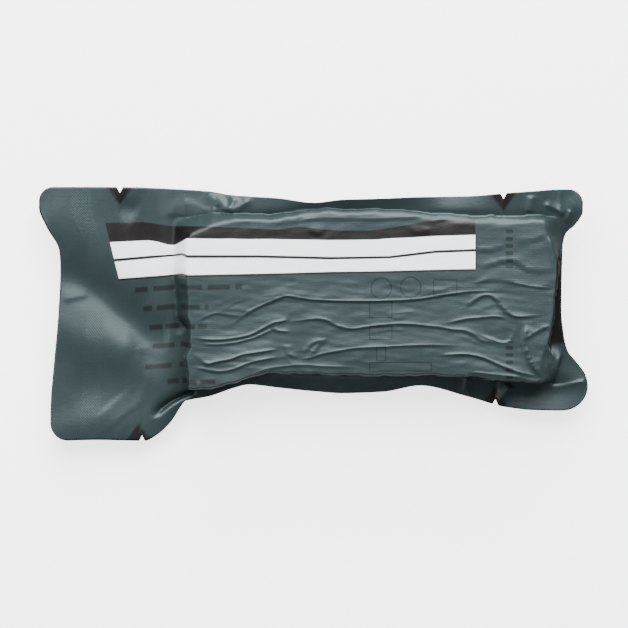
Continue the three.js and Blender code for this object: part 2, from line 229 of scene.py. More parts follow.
# How the seal leans along the pouch, as a rise for each millimetre outward: at a station, on the
# top side and on the low side
LEANS = (
    (-0.3, 0.0, 0.0), (0.0, -0.1, -0.15), (0.13, -0.25, -0.25),
    (0.25, -0.2, -0.45), (0.33, 0.14, -0.5), (0.42, 0.36, -0.5), (0.55, 0.28, -0.42),
    (0.63, -0.12, -0.3), (0.7, -0.4, -0.1), (0.78, -0.32, 0.05), (0.85, -0.12, 0.15),
    (0.93, -0.15, 0.3), (1.0, -0.15, 0.28), (2.0, -0.15, 0.2),
)

# Upright wrinkles of the walls: the length of each wave in millimetres, its share and its phase
WALL_WRINKLES = ((31.0, 0.8, 0.4), (17.0, 0.9, 1.7), (9.5, 0.6, 3.1), (5.3, 0.4, 5.0))

# The walls of the front film and of the back film
FRONT_WALLS = {
    Side.TOP: (
        Wall(0.0, 1.5, 8.0, 2.3, 0.7), Wall(0.05, 0.5, 6.5, 2.4, 0.6),
        Wall(0.1, -0.1, 4.6, 2.5, 0.4), Wall(0.13, 0.8, 3.2, 2.6, 0.3), Wall(0.18, 1.0, 3.0, 2.6, 0.3),
        Wall(0.24, 1.0, 3.0, 2.8, 0.3), Wall(0.29, 0.4, 2.6, 3.0, 0.3), Wall(0.36, -0.7, 2.2, 3.0, 0.3),
        Wall(0.45, -0.5, 2.2, 3.0, 0.3), Wall(0.54, -0.2, 2.4, 3.0, 0.3), Wall(0.68, 1.4, 2.6, 2.8, 0.3),
        Wall(0.75, 2.4, 2.6, 2.8, 0.3), Wall(0.88, 2.4, 2.6, 2.8, 0.3), Wall(2.0, 1.8, 3.0, 2.6, 0.4),
    ),
    Side.LOW: (
        Wall(0.94, 0.0, 1.2, 3.4, 0.0), Wall(0.965, 0.0, 2.4, 2.8, 0.4), Wall(1.0, 0.0, 5.0, 2.4, 0.9),
    ),
    Side.FLAP: (
        Wall(-0.1, -5.0, 9.0, 2.4, 1.0), Wall(0.1, -4.8, 7.6, 2.4, 1.0), Wall(0.3, -4.6, 6.4, 2.4, 1.0),
        Wall(0.5, -4.6, 6.6, 2.4, 1.0), Wall(0.62, -3.2, 5.4, 2.6, 0.9), Wall(0.72, 1.2, 1.9, 3.2, 0.2),
        Wall(0.82, 1.8, 1.5, 3.4, 0.0), Wall(0.9, 0.6, 1.5, 3.4, 0.0), Wall(1.0, 0.8, 1.5, 3.4, 0.0),
        Wall(1.1, 1.0, 1.5, 3.4, 0.0),
    ),
    Side.EARS: (
        Wall(-0.1, 0.0, 8.0, 2.4, 1.0), Wall(0.1, 0.3, 6.0, 2.4, 1.0), Wall(0.2, 0.5, 3.0, 2.6, 0.7),
        Wall(0.3, 0.6, 1.5, 3.2, 0.1), Wall(0.54, 1.6, 1.4, 3.4, 0.0), Wall(0.73, 3.2, 1.4, 3.4, 0.0),
        Wall(0.84, 4.4, 1.6, 3.2, 0.1), Wall(0.88, 4.2, 3.0, 2.8, 0.5), Wall(0.94, 0.4, 7.6, 2.4, 1.0),
        Wall(1.1, -0.6, 9.0, 2.4, 1.0),
    ),
}
BACK_WALLS = {
    Side.TOP: (Wall(-1.0, 0.0, 6.0, 2.3, 0.0), Wall(2.0, 0.0, 6.0, 2.3, 0.0)),
    Side.LOW: (Wall(-1.0, 0.0, 1.8, 3.0, 0.0), Wall(2.0, 0.0, 1.8, 3.0, 0.0)),
    Side.FLAP: (Wall(-0.1, -0.4, 1.8, 3.0, 0.0), Wall(1.1, 0.4, 1.8, 3.0, 0.0)),
    Side.EARS: (Wall(-0.1, 0.4, 1.8, 3.0, 0.0), Wall(1.1, 0.6, 1.8, 3.0, 0.0)),
}

# The folds of each layer, by name
FOLDS = {
    Layer.FACE: {
        "first long fold": Fold(((0.122, 0.705), (0.162, 0.628), (0.200, 0.577), (0.251, 0.526),
            (0.273, 0.510), (0.316, 0.526), (0.372, 0.538), (0.499, 0.542), (0.609, 0.532),
            (0.684, 0.506), (0.765, 0.481), (0.881, 0.478)), 1.0, 2.6, 1.0),
        "soft rise beside it": Fold(((0.033, 0.673), (0.079, 0.621), (0.114, 0.628), (0.157, 0.641)),
            0.5, 1.8, 1.0),
        "second long fold": Fold(((0.020, 0.771), (0.062, 0.785), (0.101, 0.785), (0.146, 0.771),
            (0.177, 0.753), (0.208, 0.717), (0.238, 0.679), (0.269, 0.662), (0.273, 0.607)), 1.0, 1.3,
            0.8),
        "its lower twin": Fold(((0.039, 0.807), (0.079, 0.816), (0.130, 0.807), (0.181, 0.778),
            (0.216, 0.743), (0.243, 0.711)), 0.6, 1.0, 0.8),
        "third long fold": Fold(((0.269, 0.679), (0.316, 0.662), (0.354, 0.653), (0.377, 0.662),
            (0.407, 0.698), (0.445, 0.717), (0.488, 0.703), (0.573, 0.685), (0.666, 0.703),
            (0.711, 0.721), (0.741, 0.726), (0.765, 0.749), (0.795, 0.794), (0.849, 0.803)), 0.9, 1.8,
            0.9),
        "short spur": Fold(((0.232, 0.685), (0.243, 0.724), (0.281, 0.737)), 0.7, 1.2, 0.8),
        "fourth long fold": Fold(((0.023, 0.871), (0.058, 0.935), (0.084, 0.926), (0.122, 0.909),
            (0.154, 0.881), (0.200, 0.863), (0.257, 0.845)), 1.0, 1.5, 0.9),
        "its low twin": Fold(((0.027, 0.958), (0.058, 0.973), (0.093, 0.986), (0.130, 0.973),
            (0.169, 0.935), (0.215, 0.909), (0.250, 0.895)), 0.8, 1.3, 0.9),
        "star, first ray": Fold(((0.319, 0.871), (0.337, 0.817), (0.365, 0.781)), 0.7, 1.0, 0.8),
        "star, second ray": Fold(((0.332, 0.903), (0.351, 0.839), (0.378, 0.771)), 0.7, 0.9, 0.9),
        "star, long ray": Fold(((0.308, 0.909), (0.337, 0.899), (0.358, 0.881), (0.392, 0.863),
            (0.458, 0.839), (0.523, 0.832), (0.631, 0.820), (0.738, 0.823)), 0.8, 1.8, 1.0),
        "star, left ray": Fold(((0.269, 0.817), (0.277, 0.871), (0.300, 0.899)), 0.6, 1.2, 1.2),
        "low shoulder": Fold(((0.177, 1.009), (0.215, 0.973), (0.262, 0.954), (0.316, 0.945),
            (0.375, 0.954), (0.472, 0.960)), 0.5, 1.0, 1.0),
        "low right fold": Fold(((0.673, 0.886), (0.741, 0.877), (0.788, 0.895), (0.842, 0.949),
            (0.881, 0.986), (0.945, 1.022)), 1.2, 2.0, 1.0),
        "low right strip": Fold(((0.750, 0.985), (0.842, 1.010), (0.900, 1.025)), 0.8, 2.4, 1.6),
        "facet": Fold(((0.695, 0.685), (0.741, 0.657), (0.780, 0.647), (0.827, 0.639), (0.854, 0.653)),
            0.8, 1.6, 1.2),
        "peak": Fold(((0.741, 0.593), (0.776, 0.529), (0.803, 0.502), (0.827, 0.529), (0.849, 0.593),
            (0.881, 0.639), (0.956, 0.630)), 1.0, 1.6, 1.0),
        "upright fold": Fold(((0.908, 0.685), (0.903, 0.756), (0.908, 0.849), (0.923, 0.941),
            (0.953, 1.031)), 2.2, 2.0, 1.6),
        "branch": Fold(((0.903, 0.785), (0.935, 0.737), (0.969, 0.694)), 0.8, 1.2, 1.0),
        "pillow side": Fold(((0.873, 0.711), (0.865, 0.785), (0.842, 0.803), (0.780, 0.749)), 0.7, 1.2,
            1.0),
        "upper right a": Fold(((0.776, 0.210), (0.811, 0.219), (0.857, 0.191)), 0.6, 1.2, 0.8),
        "upper right b": Fold(((0.881, 0.164), (0.918, 0.164), (0.957, 0.127)), 0.5, 1.2, 0.8),
        "upper right c": Fold(((0.780, 0.338), (0.827, 0.301), (0.849, 0.287), (0.881, 0.292),
            (0.918, 0.347), (0.991, 0.351)), 0.9, 1.5, 0.9),
        "upper right d": Fold(((0.765, 0.429), (0.827, 0.410), (0.918, 0.447), (0.980, 0.465)), 0.6, 1.5,
            1.0),
        "end streak": Fold(((0.968, 0.130), (0.973, 0.200), (0.979, 0.330)), 0.5, 1.2, 1.4),
        "top pleat": Fold(((0.265, 0.052), (0.310, 0.033), (0.362, 0.020), (0.442, 0.020),
            (0.523, 0.024), (0.609, 0.008), (0.684, -0.018)), 0.5, 1.3, 1.3),
        "bump a": Fold(((0.208, 0.020), (0.224, 0.027)), 0.6, 1.2, 1.2),
        "bump b": Fold(((0.246, 0.052), (0.257, 0.046)), 0.6, 1.2, 1.2),
        "header fold a": Fold(((0.330, 0.100), (0.352, 0.112), (0.372, 0.108)), 0.8, 1.3, 1.0),
        "header fold b": Fold(((0.600, 0.106), (0.625, 0.110), (0.655, 0.098)), 0.8, 1.3, 1.0),
        "end rim": Fold(((0.984, 0.344), (0.980, 0.500), (0.970, 0.690), (0.960, 0.850)), 0.3, 1.0, 1.0),
    },
    Layer.SEAL: {
        "pillow left end": Fold(((0.073, 0.050), (0.081, 0.013), (0.081, -0.060)), 1.2, 2.4, 0.9),
        "valley under the top seal": Fold(((0.138, -0.001), (0.200, 0.008), (0.246, -0.012),
            (0.278, -0.024), (0.316, -0.043), (0.388, -0.050)), -0.6, 1.6, 1.6),
        "fan a": Fold(((0.0868, -0.0427), (0.0576, -0.142)), 0.7, 1.8, 1.6),
        "fan b": Fold(((0.1157, -0.0243), (0.0885, -0.133)), 0.8, 1.4, 1.2),
        "fan c": Fold(((0.1157, -0.0243), (0.1383, -0.1138)), 0.8, 1.4, 1.6),
        "fan d": Fold(((0.1157, -0.0143), (0.177, -0.0974)), 0.7, 1.8, 2.4),
        "low ray a": Fold(((0.757, 1.022), (0.749, 1.132)), 1.1, 1.2, 1.1),
        "low ray b": Fold(((0.834, 1.196), (0.875, 1.075)), 1.3, 1.8, 1.2),
        "low ear fold": Fold(((0.953, 1.050), (0.991, 1.083), (1.053, 1.056), (1.072, 1.051)), 0.6, 0.9,
            1.8),
        "ear shoulder": Fold(((0.960, 0.930), (1.000, 0.960)), 4.0, 5.0, 5.0),
        "ear v": Fold(((0.977, 0.864), (0.991, 0.922), (1.018, 0.864)), 0.35, 0.8, 0.8),
        "top ear fold a": Fold(((0.956, -0.075), (0.991, -0.037), (1.007, -0.001)), 0.9, 1.2, 1.0),
        "top ear fold b": Fold(((1.030, -0.037), (1.015, 0.045)), 0.9, 1.0, 1.0),
        "top ear streak": Fold(((0.924, -0.127), (0.916, -0.012)), 0.8, 1.3, 1.3),
        "low flange line": Fold(((0.200, 0.990), (0.335, 1.012), (0.523, 1.015)), 0.7, 1.2, 1.0),
        "flap valley": Fold(((-0.330, 0.295), (-0.289, 0.366), (-0.254, 0.462), (-0.209, 0.558),
            (-0.163, 0.653), (-0.128, 0.730), (-0.107, 0.775), (-0.092, 0.826), (-0.093, 0.877),
            (-0.101, 0.941), (-0.120, 1.017)), -0.9, 8.0, 5.0),
        "flap crease": Fold(((-0.330, 0.530), (-0.257, 0.494)), 0.3, 5.0, 1.6),
        "flap low diagonal": Fold(((-0.205, 1.190), (-0.165, 1.300)), 0.3, 10.0, 8.0),
        "corner crease": Fold(((-0.085, 1.274), (-0.042, 1.188), (0.001, 1.137), (0.028, 1.111)), -3.4,
            1.5, 0.8),
        "flap dip": Fold(((-0.180, -0.040), (-0.150, -0.050), (-0.125, -0.030)), -0.9, 3.6, 5.0),
        "flap shade": Fold(((-0.014, 0.400), (-0.014, 0.600), (-0.010, 0.760)), -0.7, 1.6, 3.0),
    },
    Layer.SKIN: {
        "top right crease": Fold(((0.660, 0.046), (0.698, 0.040), (0.765, 0.014), (0.803, 0.027),
            (0.865, 0.036), (0.926, 0.020), (0.985, 0.008)), -0.3, 1.6, 1.1),
        "tip of the dome": Fold(((0.297, 0.052), (0.318, 0.008), (0.351, -0.028), (0.391, -0.047)), -0.3,
            1.2, 1.2),
        "pillow left": Fold(((-0.034, 0.027), (-0.031, -0.033), (-0.019, -0.060), (0.008, -0.069),
            (0.041, -0.040), (0.066, 0.008)), 0.6, 2.6, 6.0),
        "label crease": Fold(((-0.080, 0.160), (-0.048, 0.195), (-0.022, 0.197), (0.002, 0.160)), 0.4,
            0.8, 2.2),
    },
}

# Lines of the print, as shares along the pocket and across it
HEADER_TOP = (
    (-0.213, 0.046), (-0.109, 0.040), (-0.037, 0.065), (0.071, 0.072), (0.251, 0.091),
    (0.302, 0.072), (0.362, 0.088), (0.405, 0.097), (0.499, 0.097), (0.569, 0.072),
    (0.612, 0.052), (0.680, 0.027), (0.738, 0.036), (0.768, 0.036),
)
WHITE_TOP = (
    (-0.2007, 0.168), (-0.096, 0.156), (-0.069, 0.168), (-0.047, 0.185), (-0.026, 0.187),
    (-0.007, 0.165), (0.007, 0.146), (0.2, 0.15), (0.389, 0.155), (0.512, 0.151), (0.668, 0.132),
    (0.768, 0.124),
)
DIVIDER = (
    (-0.193, 0.283), (-0.007, 0.242), (0.009, 0.261), (0.200, 0.261), (0.389, 0.273),
    (0.5445, 0.267), (0.668, 0.230), (0.768, 0.2206),
)
WHITE_FOOT = (
    (-0.1765, 0.398), (-0.058, 0.377), (-0.007, 0.365), (0.0118, 0.377), (0.200, 0.368),
    (0.389, 0.356), (0.539, 0.350), (0.668, 0.343), (0.7745, 0.338),
)


@dataclass(frozen=True)
class FaintBar:
    """A faint broken bar of the print, in millimetres along and in rows of the print across."""

    start: float
    end: float
    row: float
    pace: float


FAINT_BARS = (
    FaintBar(-20.7, 24.0, 3.66, 0.55), FaintBar(-17.4, 10.2, 4.66, 0.62),
    FaintBar(-14.9, 9.4, 5.65, 0.9), FaintBar(-13.6, 3.1, 6.63, 0.5),
    FaintBar(-16.5, -0.7, 7.67, 0.4), FaintBar(-7.3, 14.0, 8.5, 0.8),
)

# Faint rings, boxes and dashes, in millimetres along the pocket and down from its top side
RINGS = ((81.2, 30.1, 4.2), (93.3, 29.7, 4.2))
BOXES = (
    (76.2, 85.8, 35.2, 42.3), (76.2, 85.8, 45.6, 51.4), (79.1, 83.2, 53.9, 60.2),
    (76.2, 102.0, 60.4, 64.4), (102.5, 112.5, 26.4, 33.1),
)
DASHES = ((4.7, 21.8), (51.9, 70.6))


def ease(share: np.ndarray) -> np.ndarray:
    """Return the share, held between 0 and 1 and eased at both ends."""
    held = np.clip(share, 0.0, 1.0)
    return held * held * (3.0 - 2.0 * held)


def mix(start: np.ndarray, end: np.ndarray, share: np.ndarray) -> np.ndarray:
    """Return the value that lies the given share of the way from start to end."""
    return start + (end - start) * share


def curve_through(rows: np.ndarray, at: np.ndarray) -> np.ndarray:
    """Read a smooth curve that never swings past its own rows.

    Args:
        rows: The curve's places and values, one pair in each row.
        at: The places to read it at.

    Returns:
        The curve's values there.
    """
    places, values = np.asarray(rows, dtype=float).T
    slopes = np.diff(values) / np.diff(places)
    product = slopes[:-1] * slopes[1:]
    total = np.where(product > 0.0, slopes[:-1] + slopes[1:], 1.0)
    tangents = np.zeros(len(values))
    tangents[1:-1] = np.where(product > 0.0, 2.0 * product / total, 0.0)
    index = np.clip(np.searchsorted(places, at, side="right") - 1, 0, len(places) - 2)
    span = places[index + 1] - places[index]
    t = np.clip((at - places[index]) / span, 0.0, 1.0)
    lift = span * t * (1.0 - t) * (tangents[index] * (1.0 - t) - tangents[index + 1] * t)
    return mix(values[index], values[index + 1], ease(t)) + lift


def smooth_path(points: np.ndarray, parts: int) -> np.ndarray:
    """Lay more points along a path, on a smooth curve through its own.

    Args:
        points: The path's points, one in each row.
        parts: How many parts each stretch is cut into.

    Returns:
        The points of the finer path.
    """
    if len(points) < 3:
        return points
    padded = np.vstack([2 * points[0] - points[1], points, 2 * points[-1] - points[-2]])
    finer = []
    for i in range(1, len(padded) - 2):
        before, start, end, after = padded[i - 1:i + 3]
        for t in np.arange(parts) / parts:
            finer.append(0.5 * (2 * start + (end - before) * t
                                + (2 * before - 5 * start + 4 * end - after) * t ** 2
                                + (3 * start - before - 3 * end + after) * t ** 3))
    return np.vstack([*finer, points[-1]])


@dataclass
class PouchShape:
    """The shape that both films follow, with its origin in the middle of the roll's plan."""

    roll_length: float = 150.0
    roll_width: float = 62.5
    roll_height: float = 25.6
    roll_inset: float = 1.4
    end_inset: float = 2.6
    flap_length: float = 60.5
    ear_length: float = 12.1
    seal_width: float = 10.0
    face_crown: float = 0.3
    crown_power: int = 4
    fold_start: float = 1.5
    lean_start: float = 1.5
    flap_top_radius: float = 6.0
    flap_low_radius: float = 7.5
    ear_top_radius: float = 6.0
    ear_low_radius: float = 10.0
    notch_width: float = 2.6
    notch_depth: float = 2.4
    ridge_bounds: float = 3.0
    ridge_seam: float = 0.3
    ridge_taper: float = 5.0
    sharpness: float = 1.4
    roundness: float = 2.0
    round_from: float = 2.5
    wave_share: float = 0.42
    wave_fade: float = 0.35
    path_parts: int = 5
    fold_fade: float = 0.1
    face_share: float = 0.5
    gentle_side: float = 1.25
    steep_side: float = 0.42
    crest_share: float = 0.5
    crest_reach: float = 0.42
    fine_folds: FineFolds = FineFolds()
    slack_share: float = 0.35
    slack_reach: float = 4.2
    undulation: Swell = Swell(0.05, 9, (12.0, 40.0))
    crinkle: Swell = Swell(0.032, 14, (2.6, 7.0))
    wrinkle: float = 0.2
    seed: int = 11

    @property
    def length(self) -> float:
        """Length of the pocket."""
        return self.roll_length + 2 * self.end_inset

    @property
    def width(self) -> float:
        """Width of the pocket."""
        return self.roll_width + 2 * self.roll_inset

    @property
    def height(self) -> float:
        """Height of the pocket."""
        return self.roll_height + 2 * self.roll_inset

    def station_x(self, station: np.ndarray) -> np.ndarray:
        """Find how far along the pouch a station lies.

        Args:
            station: The station.

        Returns:
            Its place along the pouch.
        """
        whole = np.minimum(0.0, station) * self.flap_length
        whole = whole + np.clip(station, 0.0, 1.0) * self.length
        return whole + np.maximum(0.0, station - 1.0) * self.ear_length - self.length / 2

    def column(self, name: str, station: np.ndarray) -> np.ndarray:
        """Read one column of the sections at the given stations."""
        return curve_through([(row.station, getattr(row, name)) for row in SECTIONS], station)

    def notch_cut(self, station: np.ndarray, edge: Edge) -> np.ndarray:
        """Find how deep the notches cut into an edge.

        Args:
            station: The stations to read it at.
            edge: The edge.

        Returns:
            The depth at each station.
        """
        depth = np.zeros_like(station)
        for place, side in NOTCHES:
            if side is edge:
                away = np.abs(self.station_x(station) - self.station_x(np.float64(place)))
                cut = self.notch_depth * np.clip(1.0 - away / (self.notch_width / 2), 0.0, 1.0)
                depth = np.maximum(depth, cut)
        return depth

    def rails(self, station: np.ndarray) -> list[np.ndarray]:
        """Find the lines along the pouch.

        Args:
            station: The stations to read them at.

        Returns:
            The places across the pouch of the top edge, the head, the foot and the low edge.
        """
        side = self.width / 2
        head = side + self.column("head", station) * self.seal_width
        top = side + self.column("top", station) * self.seal_width
        foot = -side - self.column("foot", station) * self.seal_width
        low = -side - self.column("low", station) * self.seal_width
        top_cut = self.notch_cut(station, Edge.TOP)
        low_cut = self.notch_cut(station, Edge.LOW)
        return [top - top_cut, head, foot, low + low_cut]

    def plan(self, station: np.ndarray, row: np.ndarray) -> tuple[np.ndarray, np.ndarray]:
        """Place a grid on the plan.

        Args:
            station: The station of each point.
            row: The row of each point: 0 to 1 on the top seal, 1 to 2 on the pocket and 2 to 3
                on the low seal.

        Returns:
            The points' places along and across the pouch.
        """
        lines = self.rails(station)
        strip = np.minimum(2, np.floor(row)).astype(int)
        start = np.choose(strip, lines[:3])
        end = np.choose(strip, lines[1:])
        y = mix(start, end, row - strip)
        across = (lines[0] - y) / (lines[0] - lines[3])
        pull = np.minimum(0.0, station) * self.flap_length * curve_through(FLAP_END, across)
        pull = pull + np.maximum(0.0, station - 1.0) * self.ear_length * curve_through(EAR_END, across)
        x = self.station_x(station) - pull
        left = float(self.station_x(np.float64(-1.0)))
        right = float(self.station_x(np.float64(2.0)))
        flap = [float(line) for line in self.rails(np.float64(-1.0))]
        ears = [float(line) for line in self.rails(np.float64(2.0))]
        low_left = left + self.flap_length * FLAP_END[-1][1]
        top_right = right - self.ear_length * EAR_END[0][1]
        x, y = self.round_corner(x, y, left, flap[0], self.flap_top_radius, -1, 1)
        x, y = self.round_corner(x, y, low_left, flap[3], self.flap_low_radius, -1, -1)
        x, y = self.round_corner(x, y, top_right, ears[0], self.ear_top_radius, 1, 1)
        return self.round_corner(x, y, right, ears[3], self.ear_low_radius, 1, -1)

    @staticmethod
    def round_corner(
        x: np.ndarray, y: np.ndarray, corner_x: float, corner_y: float, radius: float,
        side_x: int, side_y: int,
    ) -> tuple[np.ndarray, np.ndarray]:
        """Bend the square corner of a grid to a round one.

        Args:
            x: The points' places along the pouch.
            y: The points' places across it.
            corner_x: The corner's place along the pouch.
            corner_y: The corner's place across it.
            radius: The radius of the round corner.
            side_x: 1 where the corner lies at the high end along the pouch, else -1.
            side_y: 1 where the corner lies at the high side across it, else -1.

        Returns:
            The points' new places along and across the pouch.
        """
        a = 1.0 - side_x * (corner_x - x) / radius
        b = 1.0 - side_y * (corner_y - y) / radius
        inside = (a > 0.0) & (b > 0.0)
        bent_x = corner_x - side_x * radius * (1.0 - a * np.sqrt(np.maximum(0.0, 1.0 - b * b / 2)))
        bent_y = corner_y - side_y * radius * (1.0 - b * np.sqrt(np.maximum(0.0, 1.0 - a * a / 2)))
        return np.where(inside, bent_x, x), np.where(inside, bent_y, y)

    def ridge(
        self, path: np.ndarray, at: Spots, rise: float, above: float, below: float, fade: float,
    ) -> np.ndarray:
        """Find the height that a ridge along a path adds.

        Args:
            path: The points of the ridge's line.
            at: The points of the plan.
            rise: The height of the ridge.
            above: The reach of its side on the left of the line's way.
            below: The reach of its other side.
            fade: The share of the height that is left at the two ends of the line.

        Returns:
            The added height of each point.
        """
        reach = self.ridge_bounds * max(above, below)
        near = (at.x > path[:, 0].min() - reach) & (at.x < path[:, 0].max() + reach)
        near &= (at.y > path[:, 1].min() - reach) & (at.y < path[:, 1].max() + reach)
        px, py = at.x[near], at.y[near]
        nearest = np.full(px.shape, np.inf)
        side = np.zeros(px.shape)
        run = np.zeros(px.shape)
        count = len(path) - 1
        for i in range(count):
            way = path[i + 1] - path[i]
            along = (px - path[i, 0]) * way[0] + (py - path[i, 1]) * way[1]
            share = np.clip(along / (way @ way), 0.0, 1.0)
            dx = px - path[i, 0] - share * way[0]
            dy = py - path[i, 1] - share * way[1]
            away = np.hypot(dx, dy)
            closer = away < nearest
            nearest = np.where(closer, away, nearest)
            side = np.where(closer, way[0] * dy - way[1] * dx, side)
            run = np.where(closer, (i + share) / count, run)
        width = mix(below, above, ease(0.5 + 0.5 * side / (self.ridge_seam * np.hypot(1.0, side))))
        ends = ease(run * self.ridge_taper + fade) * ease((1.0 - run) * self.ridge_taper + fade)
        power = self.roundness if max(above, below) > self.round_from else self.sharpness
        height = np.zeros(at.x.shape)
        height[near] = rise * ends * np.exp(-((nearest / width) ** power))
        return height

    def wave_height(self, at: Spots) -> np.ndarray:
        """Find the height of the broad waves that both films share.

        Args:
            at: The points of the plan.

        Returns:
            The added height of each point.
        """
        height = np.zeros(at.x.shape)
        for stations, across, rise, reach in WAVES:
            turns = np.array(stations)
            lines = self.rails(turns)
            path = np.column_stack([
                self.station_x(turns), mix(lines[0], lines[3], np.array(across))])
            height += self.ridge(path, at, rise * self.wave_share, reach, reach, self.wave_fade)
        return height

    def fold_height(self, layer: Layer, at: Spots) -> np.ndarray:
        """Find the height that the folds of one layer add.

        Args:
            layer: The layer.
            at: The points of the plan.

        Returns:
            The added height of each point.
        """
        height = np.zeros(at.x.shape)
        for fold in FOLDS[layer].values():
            points = np.array(fold.points)
            along = (points[:, 0] - 0.5) * self.length
            across = (0.5 - points[:, 1]) * self.width
            path = smooth_path(np.column_stack([along, across]), self.path_parts)
            parts = [(fold.rise, fold.above, fold.below)]
            if layer is Layer.FACE:
                rise = fold.rise * self.face_share
                parts = [
                    (-self.slack_share * rise, fold.above, self.slack_reach),
                    (self.crest_share * rise, self.crest_reach, self.crest_reach),
                    (rise, fold.above * self.gentle_side, fold.below * self.steep_side),
                ]
            for part in parts:
                height += self.ridge(path, at, *part, self.fold_fade)
        return height

    def fine_fold_height(self, at: Spots) -> np.ndarray:
        """Find the height of the fine folds, the same in every run.

        Args:
            at: The points of the plan.

        Returns:
            The added height of each point.
        """
        chance = np.random.default_rng(self.seed + 1)
        folds = self.fine_folds
        height = np.zeros(at.x.shape)
        for _ in range(folds.count):
            middle = np.array([
                (chance.uniform(*folds.along) - 0.5) * self.length,
                (0.5 - chance.uniform(*folds.across)) * self.width])
            half = chance.uniform(*folds.half_length)
            turn = chance.normal(0.0, folds.turn)
            bend = chance.normal(0.0, folds.bend) * half
            way = np.array([math.cos(turn), math.sin(turn)])
            side = np.array([-way[1], way[0]])
            points = np.array([middle - way * half, middle + side * bend, middle + way * half])
            path = smooth_path(points, self.path_parts)
            rise = chance.uniform(*folds.rise)
            height += self.ridge(path, at, rise, folds.above, folds.below, 0.0)
        return height

    def crinkle_height(self, at: Spots) -> np.ndarray:
        """Find the height of the undulation and the small crinkles, the same in every run.

        Args:
            at: The points of the plan.

        Returns:
            The added height of each point.
        """
        chance = np.random.default_rng(self.seed)
        height = np.zeros(at.x.shape)
        for swell in (self.undulation, self.crinkle):
            for _ in range(swell.count):
                long = chance.uniform(*swell.lengths)
                turn = chance.normal(0.0, swell.turn)
                phase = chance.uniform(0.0, 2 * math.pi)
                across = at.y * math.cos(turn) + at.x * math.sin(turn) * swell.skew
                wave = np.sin(2 * math.pi * across / long + phase)
                height += swell.height / math.sqrt(swell.count) * wave
        return height

    def end_lines(self, y: np.ndarray) -> tuple[np.ndarray, np.ndarray]:
        """Find where the face ends at the top of the two end walls.

        Args:
            y: Places across the pouch.

        Returns:
            Where it ends at the flap and at the ears, as places along the pouch.
        """
        across = 0.5 - y / self.width
        insets = []
        for side in (Side.FLAP, Side.EARS):
            inset, reach, _, softness = self.wall_values(FRONT_WALLS[side], across)
            insets.append(inset + reach * softness)
        return insets[0] - self.length / 2, self.length / 2 - insets[1]

    @staticmethod
    def wall_values(walls: tuple[Wall, ...], at: np.ndarray) -> list[np.ndarray]:
        """Return the inset, reach, shoulder and softness of a wall at places along it."""
        names = ("inset", "reach", "shoulder", "softness")
        return [curve_through([(wall.place, getattr(wall, name)) for wall in walls], at)
                for name in names]

    def wrinkle_depth(self, place: np.ndarray, stretch: float) -> np.ndarray:
        """Return how far in a wall is drawn by its upright wrinkles.

        Args:
            place: The places along the wall, as shares of its stretch.
            stretch: How long the wall is.

        Returns:
            The depth in millimetres at each place.
        """
        depth = np.zeros(np.shape(place))
        for long, share, phase in WALL_WRINKLES:
            depth = depth + share * np.sin(2 * math.pi * place * stretch / long + phase)
        return self.wrinkle * depth

    def wall_share(self, walls: dict[Side, tuple[Wall, ...]], at: Spots) -> np.ndarray:
        """Find how far up the walls of the pocket each point lies.

        Args:
            walls: The walls of the film.
            at: The points of the plan.

        Returns:
            0 at the foot of a wall and outside it, and 1 on the face.
        """
        lines = self.rails(at.station)
        across = 0.5 - at.y / self.width
        depths = {
            Side.TOP: (lines[1] - at.y, at.station),
            Side.LOW: (at.y - lines[2], at.station),
            Side.FLAP: (self.length / 2 + at.x, across),
            Side.EARS: (self.length / 2 - at.x, across),
        }
        share = np.ones(at.x.shape)
        for side, (depth, place) in depths.items():
            inset, reach, shoulder, softness = self.wall_values(walls[side], place)
            stretch = self.length if side in (Side.TOP, Side.LOW) else self.width
            inset = inset + self.wrinkle_depth(place, stretch)
            depth = np.clip((depth - inset) / reach, 0.0, 1.0)
            square = (1.0 - (1.0 - depth) ** shoulder) ** (1.0 / shoulder)
            share = share * mix(square, ease(depth), softness)
        return share

    def lean_height(self, at: Spots) -> np.ndarray:
        """Find the height that the leaning of the seal adds outside the pocket.

        Args:
            at: The points of the plan.

        Returns:
            The added height of each point.
        """
        lines = self.rails(at.station)
        leans = np.array(LEANS)
        height = np.zeros(at.y.shape)
        for column, out in ((1, at.y - lines[1]), (2, lines[2] - at.y)):
            out = np.maximum(0.0, out)
            lean = curve_through(leans[:, (0, column)], at.station)
            height += lean * out * out / (out + self.lean_start)
        return height

    def seal_height(self, at: Spots) -> np.ndarray:
        """Find the height of the seal's upper side.

        Args:
            at: The points of the plan.

        Returns:
            The height of each point.
        """
        lines = self.rails(at.station)
        across = np.clip((lines[0] - at.y) / (lines[0] - lines[3]), 0.0, 1.0)
        high = self.column("top_high", at.station)
        flat = mix(high, self.column("low_high", at.station), across) * self.height
        flat = flat + self.wave_height(at) + self.lean_height(at)
        return flat + self.fold_height(Layer.SEAL, at)

    def front_height(self, at: Spots) -> np.ndarray:
        """Find the height of the front film's outer side.

        Args:
            at: The points of the plan.

        Returns:
            The height of each point.
        """
        up = self.wall_share(FRONT_WALLS, at)
        out = np.clip(np.abs(at.y) / (self.width / 2), 0.0, 1.0)
        face = self.height - self.face_crown * out ** self.crown_power
        folds = self.fold_height(Layer.FACE, at) + self.fine_fold_height(at)
        face = face + (folds + self.crinkle_height(at)) * ease(up * self.fold_start)
        return mix(self.seal_height(at), face, up) + self.fold_height(Layer.SKIN, at)


